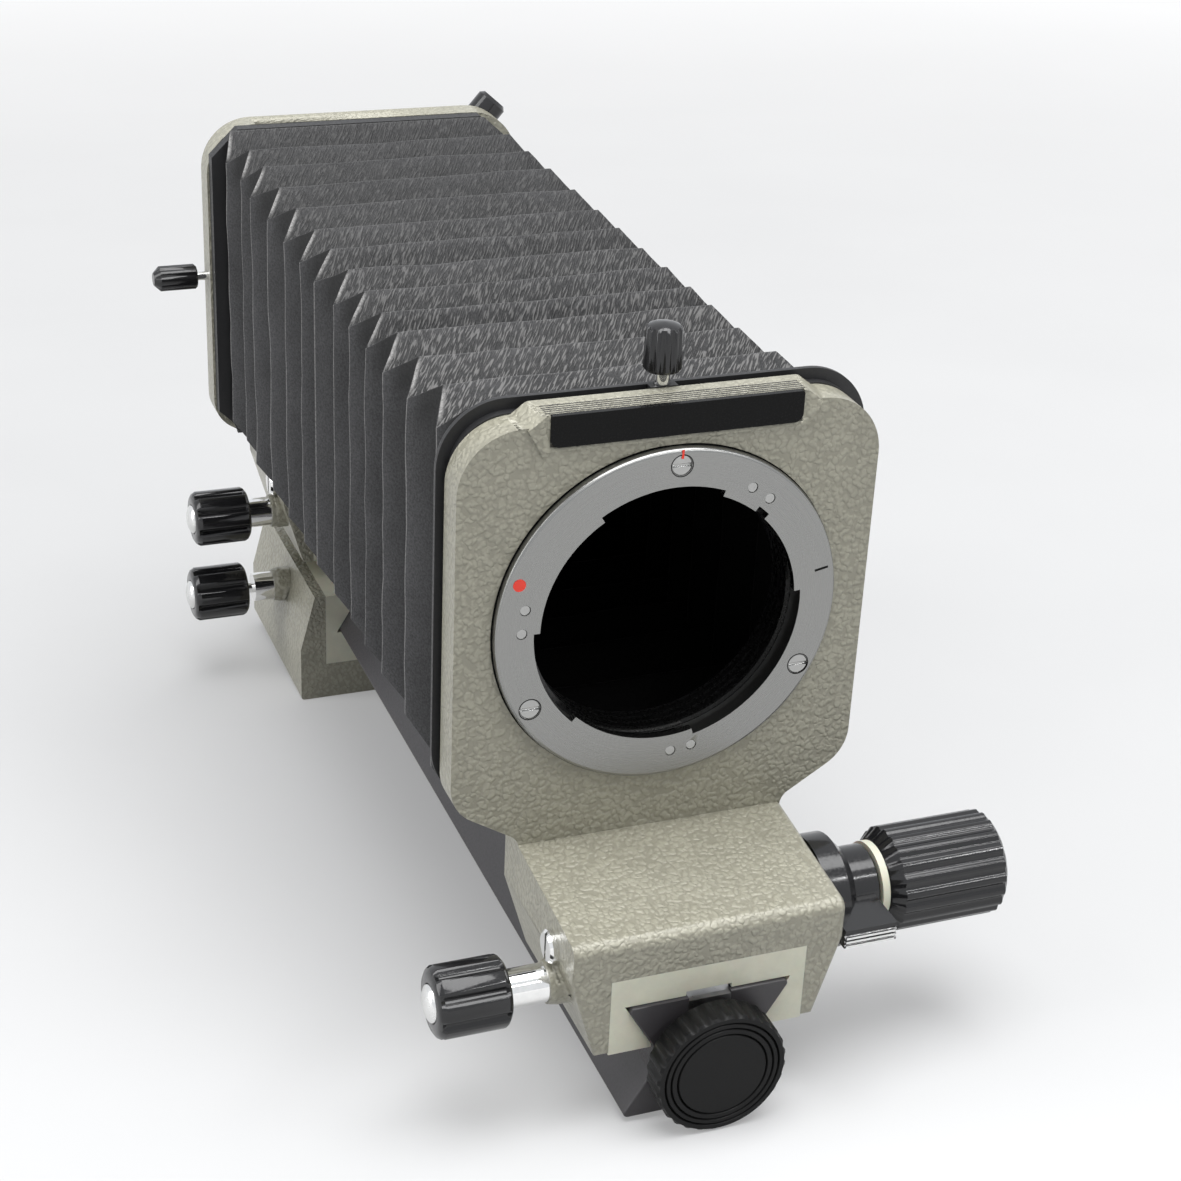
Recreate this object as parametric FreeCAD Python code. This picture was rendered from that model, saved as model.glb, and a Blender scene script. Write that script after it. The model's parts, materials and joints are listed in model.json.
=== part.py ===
import FreeCAD, Part
import math
import os
from FreeCAD import Vector

# Macro bellows unit, in millimetres.
# X runs across the unit (+X is the side of the big drive knobs), -Y is the lens side,
# +Y is the camera side and +Z is up. The origin is the mouth of the tripod socket, in
# the middle of the block's underside.

# ---------------------------------------------------------------- driving sizes
# fits
slide_clearance = 0.15      # all round a dovetail
shaft_clearance = 0.04      # radial, shaft in bearing and screw in thread
face_gap = 0.3              # between faces of pieces that move past each other

# rail: a double dovetail, wide at top and bottom, with a waist between
rail_height = 23.1
rail_half_width = 15.2
waist_half_width = 9.9
dovetail_height = 8.6
rail_length = 241.0
rack_half_width = 3.9
rack_side_clearance = 0.3
rail_corner = 0.8
rack_groove_depth = 2.4
rack_module = 0.6
rack_proud = 0.7            # rack tooth tips above the rail's face
rack_backlash = 0.10
pinion_teeth = 14

# tripod block
block_height = 26.9
block_length = 48.2
block_half_width = 24.0
guide_depth = 9.8           # how deep the rail sits in the block
socket_radius = 2.6         # tapping bore of a quarter-inch tripod thread
bushing_radius = 4.8
bushing_length = 7.0

# standards: an upright plate on a foot that slides on the rail
extension = 182.6           # front plate's face to rear plate's back
rear_plate_back_y = 2.3
axis_over_rail = 58.15      # optical axis above the rail's top face
plate_half_width = 37.3
plate_top = 36.4            # front plate, above the optical axis
plate_corner = 11.0
shoulder_drop = 32.8        # below the optical axis, where the plate starts to narrow
shoulder_corner = 8.0
neck_drop = 40.6
neck_corner = 3.0
crease_drop = 41.7          # top of the foot where it meets the plate
front_plate_thickness = 6.3
rear_plate_thickness = 5.9
foot_half_width = 24.85
foot_side_height = 10.4     # upright part of the foot's side, below the crease
foot_base_half_width = 20.3
foot_grip = 9.2             # how far the foot reaches down over the rail
foot_slope_drop = 3.0
foot_nose_radius = 2.2
front_foot_ahead = 28.6     # foot in front of the front plate's face
front_foot_behind = 0.5
rear_foot_ahead = 9.7       # foot in front of the rear plate's front face
rear_foot_behind = 18.4
insert_half_width = 17.9
insert_roof = 5.8           # nylon above the rail's face
edge_round = 0.8
rear_frame_half_width = 37.8
rear_plate_rim = 0.5        # plate outside the bellows' rear frame, each side
rear_plate_half_width = rear_frame_half_width + rear_plate_rim
rear_plate_top = 35.8

# lens side
ring_radius = 30.8
ring_proud = 1.8
ring_bore = 24.1
ring_spigot = 25.9
ring_spigot_depth = 2.0
lug_radius = 23.0
lug_thickness = 1.5
spring_gap = 0.3            # behind the lugs
spring_thickness = 0.3
lug_spans = ((123.0, 179.0), (5.0, 45.6), (51.5, 69.0), (226.0, 284.0))
spring_spans = ((129.0, 173.0), (11.0, 40.0), (232.0, 278.0))
ring_screw_circle = 27.9
ring_screw_angles = (89.0, -26.6, 209.5)
ring_screw_head = 1.8
ring_screw_shank = 0.9
ring_screw_seat = 1.2       # under the ring's face
ring_screw_depth = 3.5      # in the plate
ring_screw_slot = 0.44
ring_screw_slot_depth = 0.5
ring_pin_circle = 26.2
ring_pin_angles = (59.0, 50.0, 169.0, 178.5, 274.0, 282.5)
ring_pin_radius = 0.95
ring_mark_radius = 1.1
ring_mark_circle = 28.6
ring_mark_angle = 160.0
boss_half_width = 23.9      # at the back of the plate
boss_taper = 1.2            # narrower than that in front, each side
boss_top = 38.4             # above the optical axis
boss_drop = 7.8
boss_proud = 0.5            # in front of the plate's face
boss_end_slope = 3.0        # run of the soft slope at each end
boss_end_round = 1.2
boss_band = 2.5             # plain strip at the back of its top
boss_ridges = 5
boss_ridge_pitch = 0.76
name_plate_half_width = 22.1
name_plate_height = 5.5
name_plate_thickness = 1.0
name_plate_proud = 0.3      # in front of the boss
baffle_wall = 0.9
baffle_steps = 4

# bellows and its two frames
frame_half_width = 38.3
frame_top = 38.6
frame_bottom = 36.5
frame_corner = 11.5
frame_thickness = 3.0
frame_rim = 1.4             # thickness of its outer rim, behind a narrower neck
frame_neck_inset = 2.0
frame_rim_round = 0.6
frame_lug_half_width = 2.4  # on the neck, under the clamping screw
frame_window_x = 28.6
frame_window_z = 26.6
frame_window_corner = 4.0
rear_frame_half_height = 35.7
rear_frame_corner = 6.0
pleats = 13
bellows_middle_x = -2.1     # the pleats hang a little to the left of the frames
side_ridge = 34.4           # half width at a side ridge
side_valley = 30.1
top_ridge = 34.2            # half height at a top ridge
top_valley = 29.4
bellows_wall = 0.8

# camera side
camera_bore = 29.0
bayonet_seat_radius = 30.8
bayonet_seat_thickness = 1.5
flange_rim = 2.2            # flange outside the seat
camera_flange_radius = bayonet_seat_radius + flange_rim
camera_flange_thickness = 3.0
camera_flange_chamfer = 0.5
mount_ring_step = 2.8       # ring's bore outside the bayonet's
mount_screw_angles = (20.0, 140.0, 260.0)
mount_screw_head = 1.6
mount_screw_shank = 0.9
bayonet_tube_radius = 23.0
bayonet_tube_inner = 21.2
bayonet_tube_length = 5.0
bayonet_lug_radius = 24.5
bayonet_lug_thickness = 1.4
bayonet_lug_spans = ((65.0, 105.0), (185.0, 235.0), (305.0, 350.0))
ring_groove_depth = 1.0
release_angle = 49.0
release_button_radius = 3.6
release_button_length = 8.5
release_house_reach = 4.0
release_house_outer = camera_flange_radius + release_house_reach
release_stem_radius = 1.5
release_stem_depth = 1.0    # how far its hole enters the flange
release_travel = 1.5

# lock screws on the left side
front_lock_from_foot = 9.5
rear_lock_from_foot = 8.4
lock_over_foot_base = 10.4
lock_over_rail_base = 3.3   # on the block
lock_knob_radius = 6.4
lock_knob_length = 12.8
lock_knob_flutes = 8
lock_flute_radius = 1.4
lock_flute_depth = 1.1
lock_stem_radius = 3.4
lock_screw_radius = 2.5
front_lock_stem = 7.2       # between the boss and the knob
rear_lock_stem = 5.4
block_lock_stem = 6.6
block_neck_length = 2.0     # bare screw between the block's sleeve and knob
block_neck_radius = 1.3
lock_boss_radius = 4.1
lock_boss_end_radius = 3.75
lock_boss_length = 1.6
lock_cap_radius = 3.3
lock_cap_proud = 1.3
lock_cap_depth = 2.0
shoe_thickness = 1.0
side_screw_radius = 3.0
side_screw_shank = 1.5
side_screw_proud = 1.6
side_screw_over_lock = 7.2
side_screw_slot = 0.7

# pinion shafts and drive knobs on the right side
drive_from_foot_front = 16.6
shaft_radius = 3.0
journal_radius = 2.0
journal_length = 7.0
bearing_radius = 7.1
bearing_seat = 4.4          # how deep the bearing sits in the casting
bearing_reach = 12.2        # how far it stands out of the casting
washer_radius = 7.4
washer_thickness = 1.4
drive_knob_radius = 9.6
drive_knob_length = 23.2
drive_knob_flutes = 21
drive_flute_radius = 1.2
drive_flute_depth = 0.5
knob_shoulder = 2.2

# release levers: a ring on the bearing with a thumb tab that points to the lens side
lever_ring_radius = 10.5
lever_ring_length = 4.35
lever_cone_length = 2.1
lever_cone_radius = 8.1
lever_tab_width = 10.0
lever_tab_side_gap = 0.75   # between the tab and the foot's side
lever_tab_reach = 15.9      # from the shaft to the tab's front
lever_tab_top = 2.2         # above the shaft
lever_tab_thickness = 3.6
lever_band = 1.2            # plain band above the ridges on its front
lever_ridges = 3
lever_groove_depth = 0.4

# small knobs
frame_knob_radius = 3.28
frame_knob_top_radius = 3.1
frame_knob_length = 7.75
frame_knob_dome = 0.4
frame_knob_lift = 2.45
frame_stem_radius = 1.4
frame_screw_radius = 1.0
frame_screw_depth = 6.0
frame_knob_flutes = 12
thumb_knob_radius = 2.8
thumb_knob_length = 9.6
thumb_stem_radius = 1.0
thumb_stem_gap = 2.6
thumb_knob_flutes = 10
thumb_over_axis = 1.0

# disc at the rail's front end and stop at its rear end
end_disc_radius = 11.9
end_disc_thickness = 5.6
end_disc_chamfer = 0.45
end_disc_rings = (1.0, 2.05, 3.25)      # fine grooves, in from the face's edge
end_disc_groove = 0.2
end_disc_lobes = 28
end_disc_notch_radius = 1.1
end_disc_notch_depth = 0.4
end_hub_radius = 4.0
end_hub_length = 1.4
end_screw_radius = 2.5
end_screw_depth = 9.0
rear_stop_radius = 11.0
rear_stop_thickness = 3.0

# ---------------------------------------------------------------- worked-out places
rail_z0 = block_height - guide_depth
rail_z1 = rail_z0 + rail_height
axis_z = rail_z1 + axis_over_rail
foot_z0 = rail_z1 - foot_grip
crease_z = axis_z - crease_drop
front_face_y = rear_plate_back_y - extension
front_back_y = front_face_y + front_plate_thickness
rear_face_y = rear_plate_back_y - rear_plate_thickness
front_foot = (front_face_y - front_foot_ahead, front_back_y + front_foot_behind)
rear_foot = (rear_face_y - rear_foot_ahead, rear_plate_back_y + rear_foot_behind)
rail_y0 = front_foot[0] - 0.7
rail_y1 = rail_y0 + rail_length
frame_back_y = front_back_y + frame_thickness
rear_frame_y = rear_face_y - frame_thickness
bellows_mid_y = (frame_back_y + rear_frame_y) / 2.0

tooth_pitch = math.pi * rack_module
pinion_radius = rack_module * pinion_teeth / 2.0
rack_addendum = 0.8 * rack_module
rack_dedendum = 1.25 * rack_module
pinion_tip = pinion_radius + rack_module
pinion_root = pinion_radius - rack_addendum - 0.2
rack_pitch_up = rack_proud - rack_addendum       # pitch line above the rail's face
drive_over_rail = rack_pitch_up + pinion_radius  # shaft axis from the rail's face
standard_drive_z = rail_z1 + drive_over_rail
block_drive_z = rail_z0 - drive_over_rail
block_drive_y = 9.0
lock_z = foot_z0 + lock_over_foot_base
side_screw_z = lock_z + side_screw_over_lock
front_lock_y = front_foot[0] + front_lock_from_foot
rear_lock_y = rear_foot[0] + rear_lock_from_foot
block_lock_y = -2.3
block_lock_z = rail_z0 + lock_over_rail_base
insert_top_z = rail_z1 + insert_roof
block_insert_z0 = rail_z0 - 8.2
block_break_z = 13.4
block_top_half_width = 20.5


# ---------------------------------------------------------------- helpers
def save(node, shape):
    """Write one node as a STEP file of its solids."""
    solids = shape.Solids
    out = solids[0] if len(solids) == 1 else Part.makeCompound(solids)
    out.exportStep("parts/%s.step" % node)


def box(x0, x1, y0, y1, z0, z1):
    return Part.makeBox(x1 - x0, y1 - y0, z1 - z0, Vector(x0, y0, z0))


def rod_x(x0, x1, radius, y, z):
    return Part.makeCylinder(radius, x1 - x0, Vector(x0, y, z), Vector(1, 0, 0))


def rod_y(y0, y1, radius, x, z):
    return Part.makeCylinder(radius, y1 - y0, Vector(x, y0, z), Vector(0, 1, 0))


def rod_z(z0, z1, radius, x, y):
    return Part.makeCylinder(radius, z1 - z0, Vector(x, y, z0), Vector(0, 0, 1))


def prism(points, vector):
    """Extrude a closed polygon."""
    face = Part.Face(Part.makePolygon(list(points) + [points[0]]))
    return face.extrude(vector)


def prism_y(points_xz, y0, y1):
    return prism([Vector(x, y0, z) for x, z in points_xz], Vector(0, y1 - y0, 0))


def prism_x(points_yz, x0, x1):
    return prism([Vector(x0, y, z) for y, z in points_yz], Vector(x1 - x0, 0, 0))


def turned(points_ar, origin, direction):
    """Revolve a half section given as (along, radius) pairs about an axis."""
    face = Part.Face(Part.makePolygon([Vector(r, 0, a) for a, r in points_ar + points_ar[:1]]))
    solid = face.revolve(Vector(0, 0, 0), Vector(0, 0, 1), 360)
    turn = FreeCAD.Rotation(Vector(0, 0, 1), direction)
    solid.Placement = FreeCAD.Placement(origin, turn)
    return solid


def fuse(*shapes):
    out = shapes[0]
    for shape in shapes[1:]:
        out = out.fuse(shape)
    return out.removeSplitter()


def cut(shape, *tools):
    for tool in tools:
        shape = shape.cut(tool)
    return shape


def mirror_pair(x, z):
    return [(x, z), (-x, z)]


def round_lines_y(shape, places, radius):
    """Fillet the edges that run along Y through the given (x, z) places."""
    picked = []
    for edge in shape.Edges:
        ends = [v.Point for v in edge.Vertexes]
        if len(ends) != 2 or abs(ends[0].y - ends[1].y) < 0.5:
            continue
        for x, z in places:
            if all(abs(p.x - x) < 0.05 and abs(p.z - z) < 0.05 for p in ends):
                picked.append(edge)
    return shape.makeFillet(radius, picked) if picked else shape


def sector_y(y0, y1, r_in, r_out, a0, a1):
    """A slice of a ring about the optical axis, between two angles in degrees."""
    steps = max(3, int((a1 - a0) / 12.0))
    outer = rod_y(y0, y1, r_out, 0, axis_z)
    inner = rod_y(y0, y1, r_in, 0, axis_z)
    reach = r_out * 2.0
    angles = [a0 + (a1 - a0) * i / steps for i in range(steps + 1)]
    fan = [(0.0, axis_z)]
    fan += [(reach * math.cos(math.radians(a)), axis_z + reach * math.sin(math.radians(a))) for a in angles]
    return outer.cut(inner).common(prism_y(fan, y0, y1))


def on_circle(radius, angle):
    """Point (x, z) on a circle about the optical axis."""
    a = math.radians(angle)
    return radius * math.cos(a), axis_z + radius * math.sin(a)


# ---------------------------------------------------------------- rail and racks
def rail_outline(grow):
    """Half outline of the rail from bottom to top, grown all round for its guides."""
    lean = (rail_half_width - waist_half_width) / dovetail_height
    side = grow * math.sqrt(1.0 + lean * lean)
    return [(rail_half_width + side - grow * lean, rail_z0 - grow),
            (waist_half_width + side, rail_z0 + dovetail_height),
            (waist_half_width + side, rail_z1 - dovetail_height),
            (rail_half_width + side - grow * lean, rail_z1 + grow)]


def rail_section(grow):
    half = rail_outline(grow)
    return half + [(-x, z) for x, z in reversed(half)]


def make_rail():
    solid = prism_y(rail_section(0.0), rail_y0, rail_y1)
    corners = mirror_pair(rail_half_width, rail_z0) + mirror_pair(rail_half_width, rail_z1)
    solid = round_lines_y(solid, corners, rail_corner)
    groove = rack_half_width
    solid = cut(solid,
                box(-groove, groove, rail_y0, rail_y1, rail_z1 - rack_groove_depth, rail_z1 + 1),
                box(-groove, groove, rail_y0, rail_y1, rail_z0 - 1, rail_z0 + rack_groove_depth))
    mid_z = (rail_z0 + rail_z1) / 2.0
    solid = cut(solid, rod_y(rail_y0, rail_y0 + end_screw_depth + 1.0, end_screw_radius, 0, mid_z),
                rod_y(rail_y1 - end_screw_depth - 1.0, rail_y1, end_screw_radius, 0, mid_z))
    save("rail", solid)


def make_rack(node, base_z, face_z, up):
    """A straight-toothed rack; up is +1 on the top of the rail and -1 below it."""
    pitch_z = face_z + up * rack_pitch_up
    tip_z = pitch_z + up * rack_addendum
    root_z = pitch_z - up * rack_dedendum
    lean = math.tan(math.radians(20.0))
    half_tooth = (tooth_pitch / 2.0 - rack_backlash) / 2.0
    tip_half = half_tooth - rack_addendum * lean
    root_half = half_tooth + rack_dedendum * lean
    count = int(rail_length / tooth_pitch) - 1
    points = [(rail_y0, base_z), (rail_y0, root_z)]
    for i in range(count):
        y = rail_y0 + (i + 1) * tooth_pitch
        points += [(y - root_half, root_z), (y - tip_half, tip_z),
                   (y + tip_half, tip_z), (y + root_half, root_z)]
    points += [(rail_y1, root_z), (rail_y1, base_z)]
    save(node, prism_x(points, -rack_half_width, rack_half_width))


def make_end_disc():
    mid_z = (rail_z0 + rail_z1) / 2.0
    back = rail_y0 - face_gap - end_hub_length
    front = back - end_disc_thickness
    edge = end_disc_radius - end_disc_chamfer
    profile = [(0, 0), (0, end_disc_radius - end_disc_chamfer), (end_disc_chamfer, end_disc_radius),
               (end_disc_thickness - end_disc_chamfer, end_disc_radius), (end_disc_thickness, edge)]
    for inset in end_disc_rings:
        ring = edge - inset
        floor = end_disc_thickness - 2.0 * end_disc_groove
        profile += [(end_disc_thickness, ring + end_disc_groove), (floor, ring),
                    (end_disc_thickness, ring - end_disc_groove)]
    profile += [(end_disc_thickness, 0)]
    body = turned(profile, Vector(0, back, mid_z), Vector(0, -1, 0))
    notches = []
    for i in range(end_disc_lobes):
        a = 2.0 * math.pi * i / end_disc_lobes
        r = end_disc_radius + end_disc_notch_radius - end_disc_notch_depth
        notches.append(rod_y(front, back, end_disc_notch_radius, r * math.cos(a), mid_z + r * math.sin(a)))
    body = body.cut(Part.makeCompound(notches))
    hub_end = rail_y0 - face_gap
    save("rail_end_knob", fuse(body, rod_y(back, hub_end, end_hub_radius, 0, mid_z)))
    shank = end_screw_radius - shaft_clearance
    save("rail_end_screw", rod_y(hub_end, rail_y0 + end_screw_depth, shank, 0, mid_z))
    stop = turned([(0, 0), (0, rear_stop_radius), (rear_stop_thickness - 1, rear_stop_radius),
                   (rear_stop_thickness, rear_stop_radius - 1), (rear_stop_thickness, 0)],
                  Vector(0, rail_y1, mid_z), Vector(0, 1, 0))
    stem = rod_y(rail_y1 - end_screw_depth, rail_y1, end_screw_radius, 0, mid_z)
    save("rail_rear_stop", fuse(stop, stem))


# ---------------------------------------------------------------- castings
def drive_bore(shape, y, z):
    """Room for a pinion shaft and its bearing in a casting or a nylon guide."""
    wall = foot_half_width
    pocket = rod_x(-rack_half_width - 0.5, rack_half_width + 0.5, pinion_tip + 0.4, y, z)
    tunnel = rod_x(0, wall + 1, shaft_radius + 0.3, y, z)
    journal = rod_x(-rack_half_width - journal_length - 0.3, 0, journal_radius + shaft_clearance, y, z)
    seat = rod_x(wall - bearing_seat, wall + 1, bearing_radius, y, z)
    return cut(shape, pocket, tunnel, journal, seat)


def lock_bore(shape, side, y, z):
    """Threaded hole for a lock screw, through to the nylon guide."""
    wide = rod_x(-side - lock_boss_length - 1, -side + 2.5, lock_stem_radius + shaft_clearance, y, z)
    thread = rod_x(-side, -insert_half_width, lock_screw_radius + shaft_clearance, y, z)
    return cut(shape, wide, thread)


def lock_boss(side, y, z):
    """Turned boss round a lock screw's stem, on the casting's left side."""
    reach = side + lock_boss_length
    root = insert_half_width + 2.0
    return turned([(root, 0), (root, lock_boss_radius), (side, lock_boss_radius),
                   (reach, lock_boss_end_radius), (reach, 0)], Vector(0, y, z), Vector(-1, 0, 0))


def plate_solid(y0, y1, half_width, over_axis):
    """Upright plate with rounded corners that narrows to the width of the foot."""
    top = axis_z + over_axis
    shoulder = axis_z - shoulder_drop
    neck = axis_z - neck_drop
    low = crease_z - 4.0
    outline = [(-half_width, top), (half_width, top), (half_width, shoulder),
               (foot_half_width, neck), (foot_half_width, low), (-foot_half_width, low),
               (-foot_half_width, neck), (-half_width, shoulder)]
    solid = prism_y(outline, y0, y1)
    solid = round_lines_y(solid, mirror_pair(half_width, top), plate_corner)
    solid = round_lines_y(solid, mirror_pair(half_width, shoulder), shoulder_corner)
    return round_lines_y(solid, mirror_pair(foot_half_width, neck), neck_corner)


def foot_solid(foot, plate_y0, plate_y1):
    """Foot with upright sides that slope in below, its top falling away from the plate."""
    y0, y1 = foot
    side_z = crease_z - foot_side_height
    outline = [(-foot_half_width, crease_z), (foot_half_width, crease_z), (foot_half_width, side_z),
               (foot_base_half_width, foot_z0), (-foot_base_half_width, foot_z0), (-foot_half_width, side_z)]
    solid = prism_y(outline, y0, y1)
    for start, end in ((plate_y0, y0), (plate_y1, y1)):
        if abs(start - end) < 3.0:
            continue
        low = crease_z - foot_slope_drop
        wedge = prism_x([(start, crease_z), (end, low), (end, crease_z + 1), (start, crease_z + 1)],
                        -foot_half_width - 1, foot_half_width + 1)
        solid = solid.cut(wedge)
        nose = [e for e in solid.Edges if len(e.Vertexes) == 2
                and all(abs(v.Y - end) < 0.01 and abs(v.Z - low) < 0.01 for v in e.Vertexes)]
        solid = solid.makeFillet(foot_nose_radius, nose)
    return solid


def standard_solid(plate, plate_y0, plate_y1, foot, lock_y):
    solid = fuse(plate, foot_solid(foot, plate_y0, plate_y1))
    channel = box(-insert_half_width, insert_half_width, foot[0] - 1, foot[1] + 1, foot_z0 - 1, insert_top_z)
    drive_y = foot[0] + drive_from_foot_front
    solid = solid.fuse(lock_boss(foot_half_width, lock_y, lock_z))
    solid = cut(solid, channel)
    solid = lock_bore(solid, foot_half_width, lock_y, lock_z)
    solid = solid.cut(rod_x(-foot_half_width - 1, -insert_half_width, side_screw_shank, lock_y, side_screw_z))
    return drive_bore(solid, drive_y, standard_drive_z)


def boss_wire(y, half_width):
    """Section of the boss across the unit: a flat top, soft ends and an upright part below."""
    top, shoulder, low = axis_z + boss_top, axis_z + plate_top - 0.3, axis_z + boss_top - boss_drop
    right = [(half_width, top), (half_width + boss_end_slope, shoulder), (half_width, low)]
    points = [Vector(x, y, z) for x, z in right] + [Vector(-x, y, z) for x, z in reversed(right)]
    return Part.makePolygon(points + points[:1])


def make_boss():
    """Raised strip along the front plate's top that carries the name plate."""
    y0, y1 = front_face_y - boss_proud, front_back_y
    top = axis_z + boss_top
    wires = [boss_wire(y0, boss_half_width - boss_taper), boss_wire(y1, boss_half_width)]
    solid = Part.makeLoft(wires, True, True)
    ends = [e for e in solid.Edges
            if abs(e.Vertexes[0].Y - e.Vertexes[1].Y) > 1.0 and e.BoundBox.ZMin > top - 0.1]
    solid = solid.makeFillet(boss_end_round, ends)
    low = top - boss_drop
    slope_top = low + 3.0 * boss_proud
    soft = prism_x([(y0 - 1, low - 1), (front_face_y + 0.1, low - 1), (front_face_y + 0.1, low),
                    (y0, slope_top), (y0 - 1, slope_top)], -plate_half_width, plate_half_width)
    solid = solid.cut(soft)
    reach = boss_half_width + boss_end_slope + 1
    for i in range(boss_ridges):
        y = y1 - boss_band - boss_ridge_pitch * i
        half, depth = 0.4 * boss_ridge_pitch, 0.6 * boss_ridge_pitch
        groove = prism_x([(y - half, top + 0.01), (y, top - depth), (y + half, top + 0.01)], -reach, reach)
        solid = solid.cut(groove)
    return solid


def make_front_casting():
    plate = plate_solid(front_face_y, front_back_y, plate_half_width, plate_top)
    solid = standard_solid(plate, front_face_y, front_back_y, front_foot, front_lock_y)
    solid = solid.fuse(make_boss())
    top = axis_z + boss_top
    plate_y1 = front_face_y - boss_proud - name_plate_proud + name_plate_thickness
    recess = box(-name_plate_half_width, name_plate_half_width, front_face_y - 2, plate_y1,
                 top - name_plate_height, top + 1)
    solid = cut(solid, recess, rod_y(front_face_y - 1, front_back_y + 1, ring_spigot, 0, axis_z))
    for angle in ring_screw_angles:
        x, z = on_circle(ring_screw_circle, angle)
        solid = solid.cut(rod_y(front_face_y - 1, front_face_y + 4, ring_screw_shank, x, z))
    save("front_standard", solid)


def make_rear_casting():
    plate = plate_solid(rear_face_y, rear_plate_back_y, rear_plate_half_width, rear_plate_top)
    solid = standard_solid(plate, rear_face_y, rear_plate_back_y, rear_foot, rear_lock_y)
    solid = solid.cut(rod_y(rear_face_y - 1, rear_plate_back_y + 1, camera_bore, 0, axis_z))
    mid_y = (rear_face_y + rear_plate_back_y) / 2.0
    thumb_z = axis_z + thumb_over_axis
    hole = rod_x(-rear_plate_half_width - 1, -camera_bore + 1, thumb_stem_radius + shaft_clearance,
                 mid_y, thumb_z)
    save("rear_standard", solid.cut(hole))


def make_insert(node, foot, drive_y):
    """Nylon guide that fills the foot's channel and runs on the rail's top dovetail."""
    y0, y1 = foot
    solid = box(-insert_half_width, insert_half_width, y0, y1, foot_z0, insert_top_z)
    solid = solid.cut(prism_y(rail_section(slide_clearance), y0 - 1, y1 + 1))
    wide = rack_half_width + rack_side_clearance
    solid = solid.cut(box(-wide, wide, y0 - 1, y1 + 1, rail_z1 - 1, rail_z1 + rack_proud + face_gap))
    save(node, drive_bore(solid, drive_y, standard_drive_z))


def make_block():
    y0, y1 = -block_length / 2.0, block_length / 2.0
    outline = [(-block_half_width, 0), (block_half_width, 0), (block_half_width, block_break_z),
               (block_top_half_width, block_height), (-block_top_half_width, block_height),
               (-block_half_width, block_break_z)]
    solid = prism_y(outline, y0, y1)
    solid = round_lines_y(solid, mirror_pair(block_half_width, 0), edge_round)
    solid = solid.fuse(lock_boss(block_half_width, block_lock_y, block_lock_z))
    solid = solid.cut(box(-insert_half_width, insert_half_width, y0 - 1, y1 + 1,
                          block_insert_z0, block_height + 1))
    solid = lock_bore(solid, block_half_width, block_lock_y, block_lock_z)
    solid = drive_bore(solid, block_drive_y, block_drive_z)
    solid = solid.cut(rod_z(-1, bushing_length, bushing_radius, 0, 0))
    save("tripod_block", solid)

    guide = box(-insert_half_width, insert_half_width, y0, y1, block_insert_z0, block_height)
    guide = guide.cut(prism_y(rail_section(slide_clearance), y0 - 1, y1 + 1))
    wide = rack_half_width + rack_side_clearance
    guide = guide.cut(box(-wide, wide, y0 - 1, y1 + 1, rail_z0 - rack_proud - face_gap, rail_z0 + 1))
    save("block_guide", drive_bore(guide, block_drive_y, block_drive_z))
    save("tripod_bushing", cut(rod_z(0, bushing_length, bushing_radius, 0, 0),
                               rod_z(-1, bushing_length + 1, socket_radius, 0, 0)))


# ---------------------------------------------------------------- lens side pieces
def make_lens_ring():
    front = front_face_y - ring_proud
    body = turned([(0, ring_bore), (0, ring_radius - 0.5), (0.5, ring_radius), (ring_proud, ring_radius),
                   (ring_proud, ring_spigot), (ring_proud + ring_spigot_depth, ring_spigot),
                   (ring_proud + ring_spigot_depth, ring_bore)], Vector(0, front, axis_z), Vector(0, 1, 0))
    lugs = [sector_y(front, front + lug_thickness, lug_radius, ring_bore + 0.5, a0, a1)
            for a0, a1 in lug_spans]
    body = fuse(body, *lugs)
    for angle in ring_screw_angles:
        x, z = on_circle(ring_screw_circle, angle)
        body = body.cut(rod_y(front - 1, front + ring_screw_seat, ring_screw_head, x, z))
        body = body.cut(rod_y(front, front_face_y + 1, ring_screw_shank, x, z))
    for angle in ring_pin_angles:
        x, z = on_circle(ring_pin_circle, angle)
        body = body.cut(rod_y(front - 1, front + 1.0, ring_pin_radius, x, z))
    mark_x, mark_z = on_circle(ring_mark_circle, ring_mark_angle)
    body = body.cut(rod_y(front - 1, front + 0.6, ring_mark_radius, mark_x, mark_z))
    save("lens_mount_ring", body)

    screws = []
    for angle in ring_screw_angles:
        x, z = on_circle(ring_screw_circle, angle)
        head = rod_y(front + 0.1, front + ring_screw_seat, ring_screw_head, x, z)
        reach, half = ring_screw_head + 0.2, ring_screw_slot / 2.0
        slot = box(x - reach, x + reach, front, front + ring_screw_slot_depth, z - half, z + half)
        shank = rod_y(front + ring_screw_seat, front_face_y + ring_screw_depth, ring_screw_shank, x, z)
        screws.append(fuse(head.cut(slot), shank))
    for angle in ring_pin_angles:
        x, z = on_circle(ring_pin_circle, angle)
        screws.append(rod_y(front + 0.1, front + 1.0, ring_pin_radius, x, z))
    save("lens_ring_screws", Part.makeCompound(screws))
    save("mount_index_dot", rod_y(front - 0.1, front + 0.6, ring_mark_radius, mark_x, mark_z))
    spring_y = front + lug_thickness + spring_gap
    springs = [sector_y(spring_y, spring_y + spring_thickness, lug_radius + 0.2, ring_bore, a0, a1)
               for a0, a1 in spring_spans]
    save("bayonet_springs", Part.makeCompound(springs))


def make_name_plate():
    top = axis_z + boss_top
    y0 = front_face_y - boss_proud - name_plate_proud
    low = top - name_plate_height
    solid = box(-name_plate_half_width, name_plate_half_width, y0, y0 + name_plate_thickness, low, top)
    solid = round_lines_y(solid, mirror_pair(name_plate_half_width, low), 1.6)
    save("name_plate", round_lines_y(solid, mirror_pair(name_plate_half_width, top), 0.5))


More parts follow.
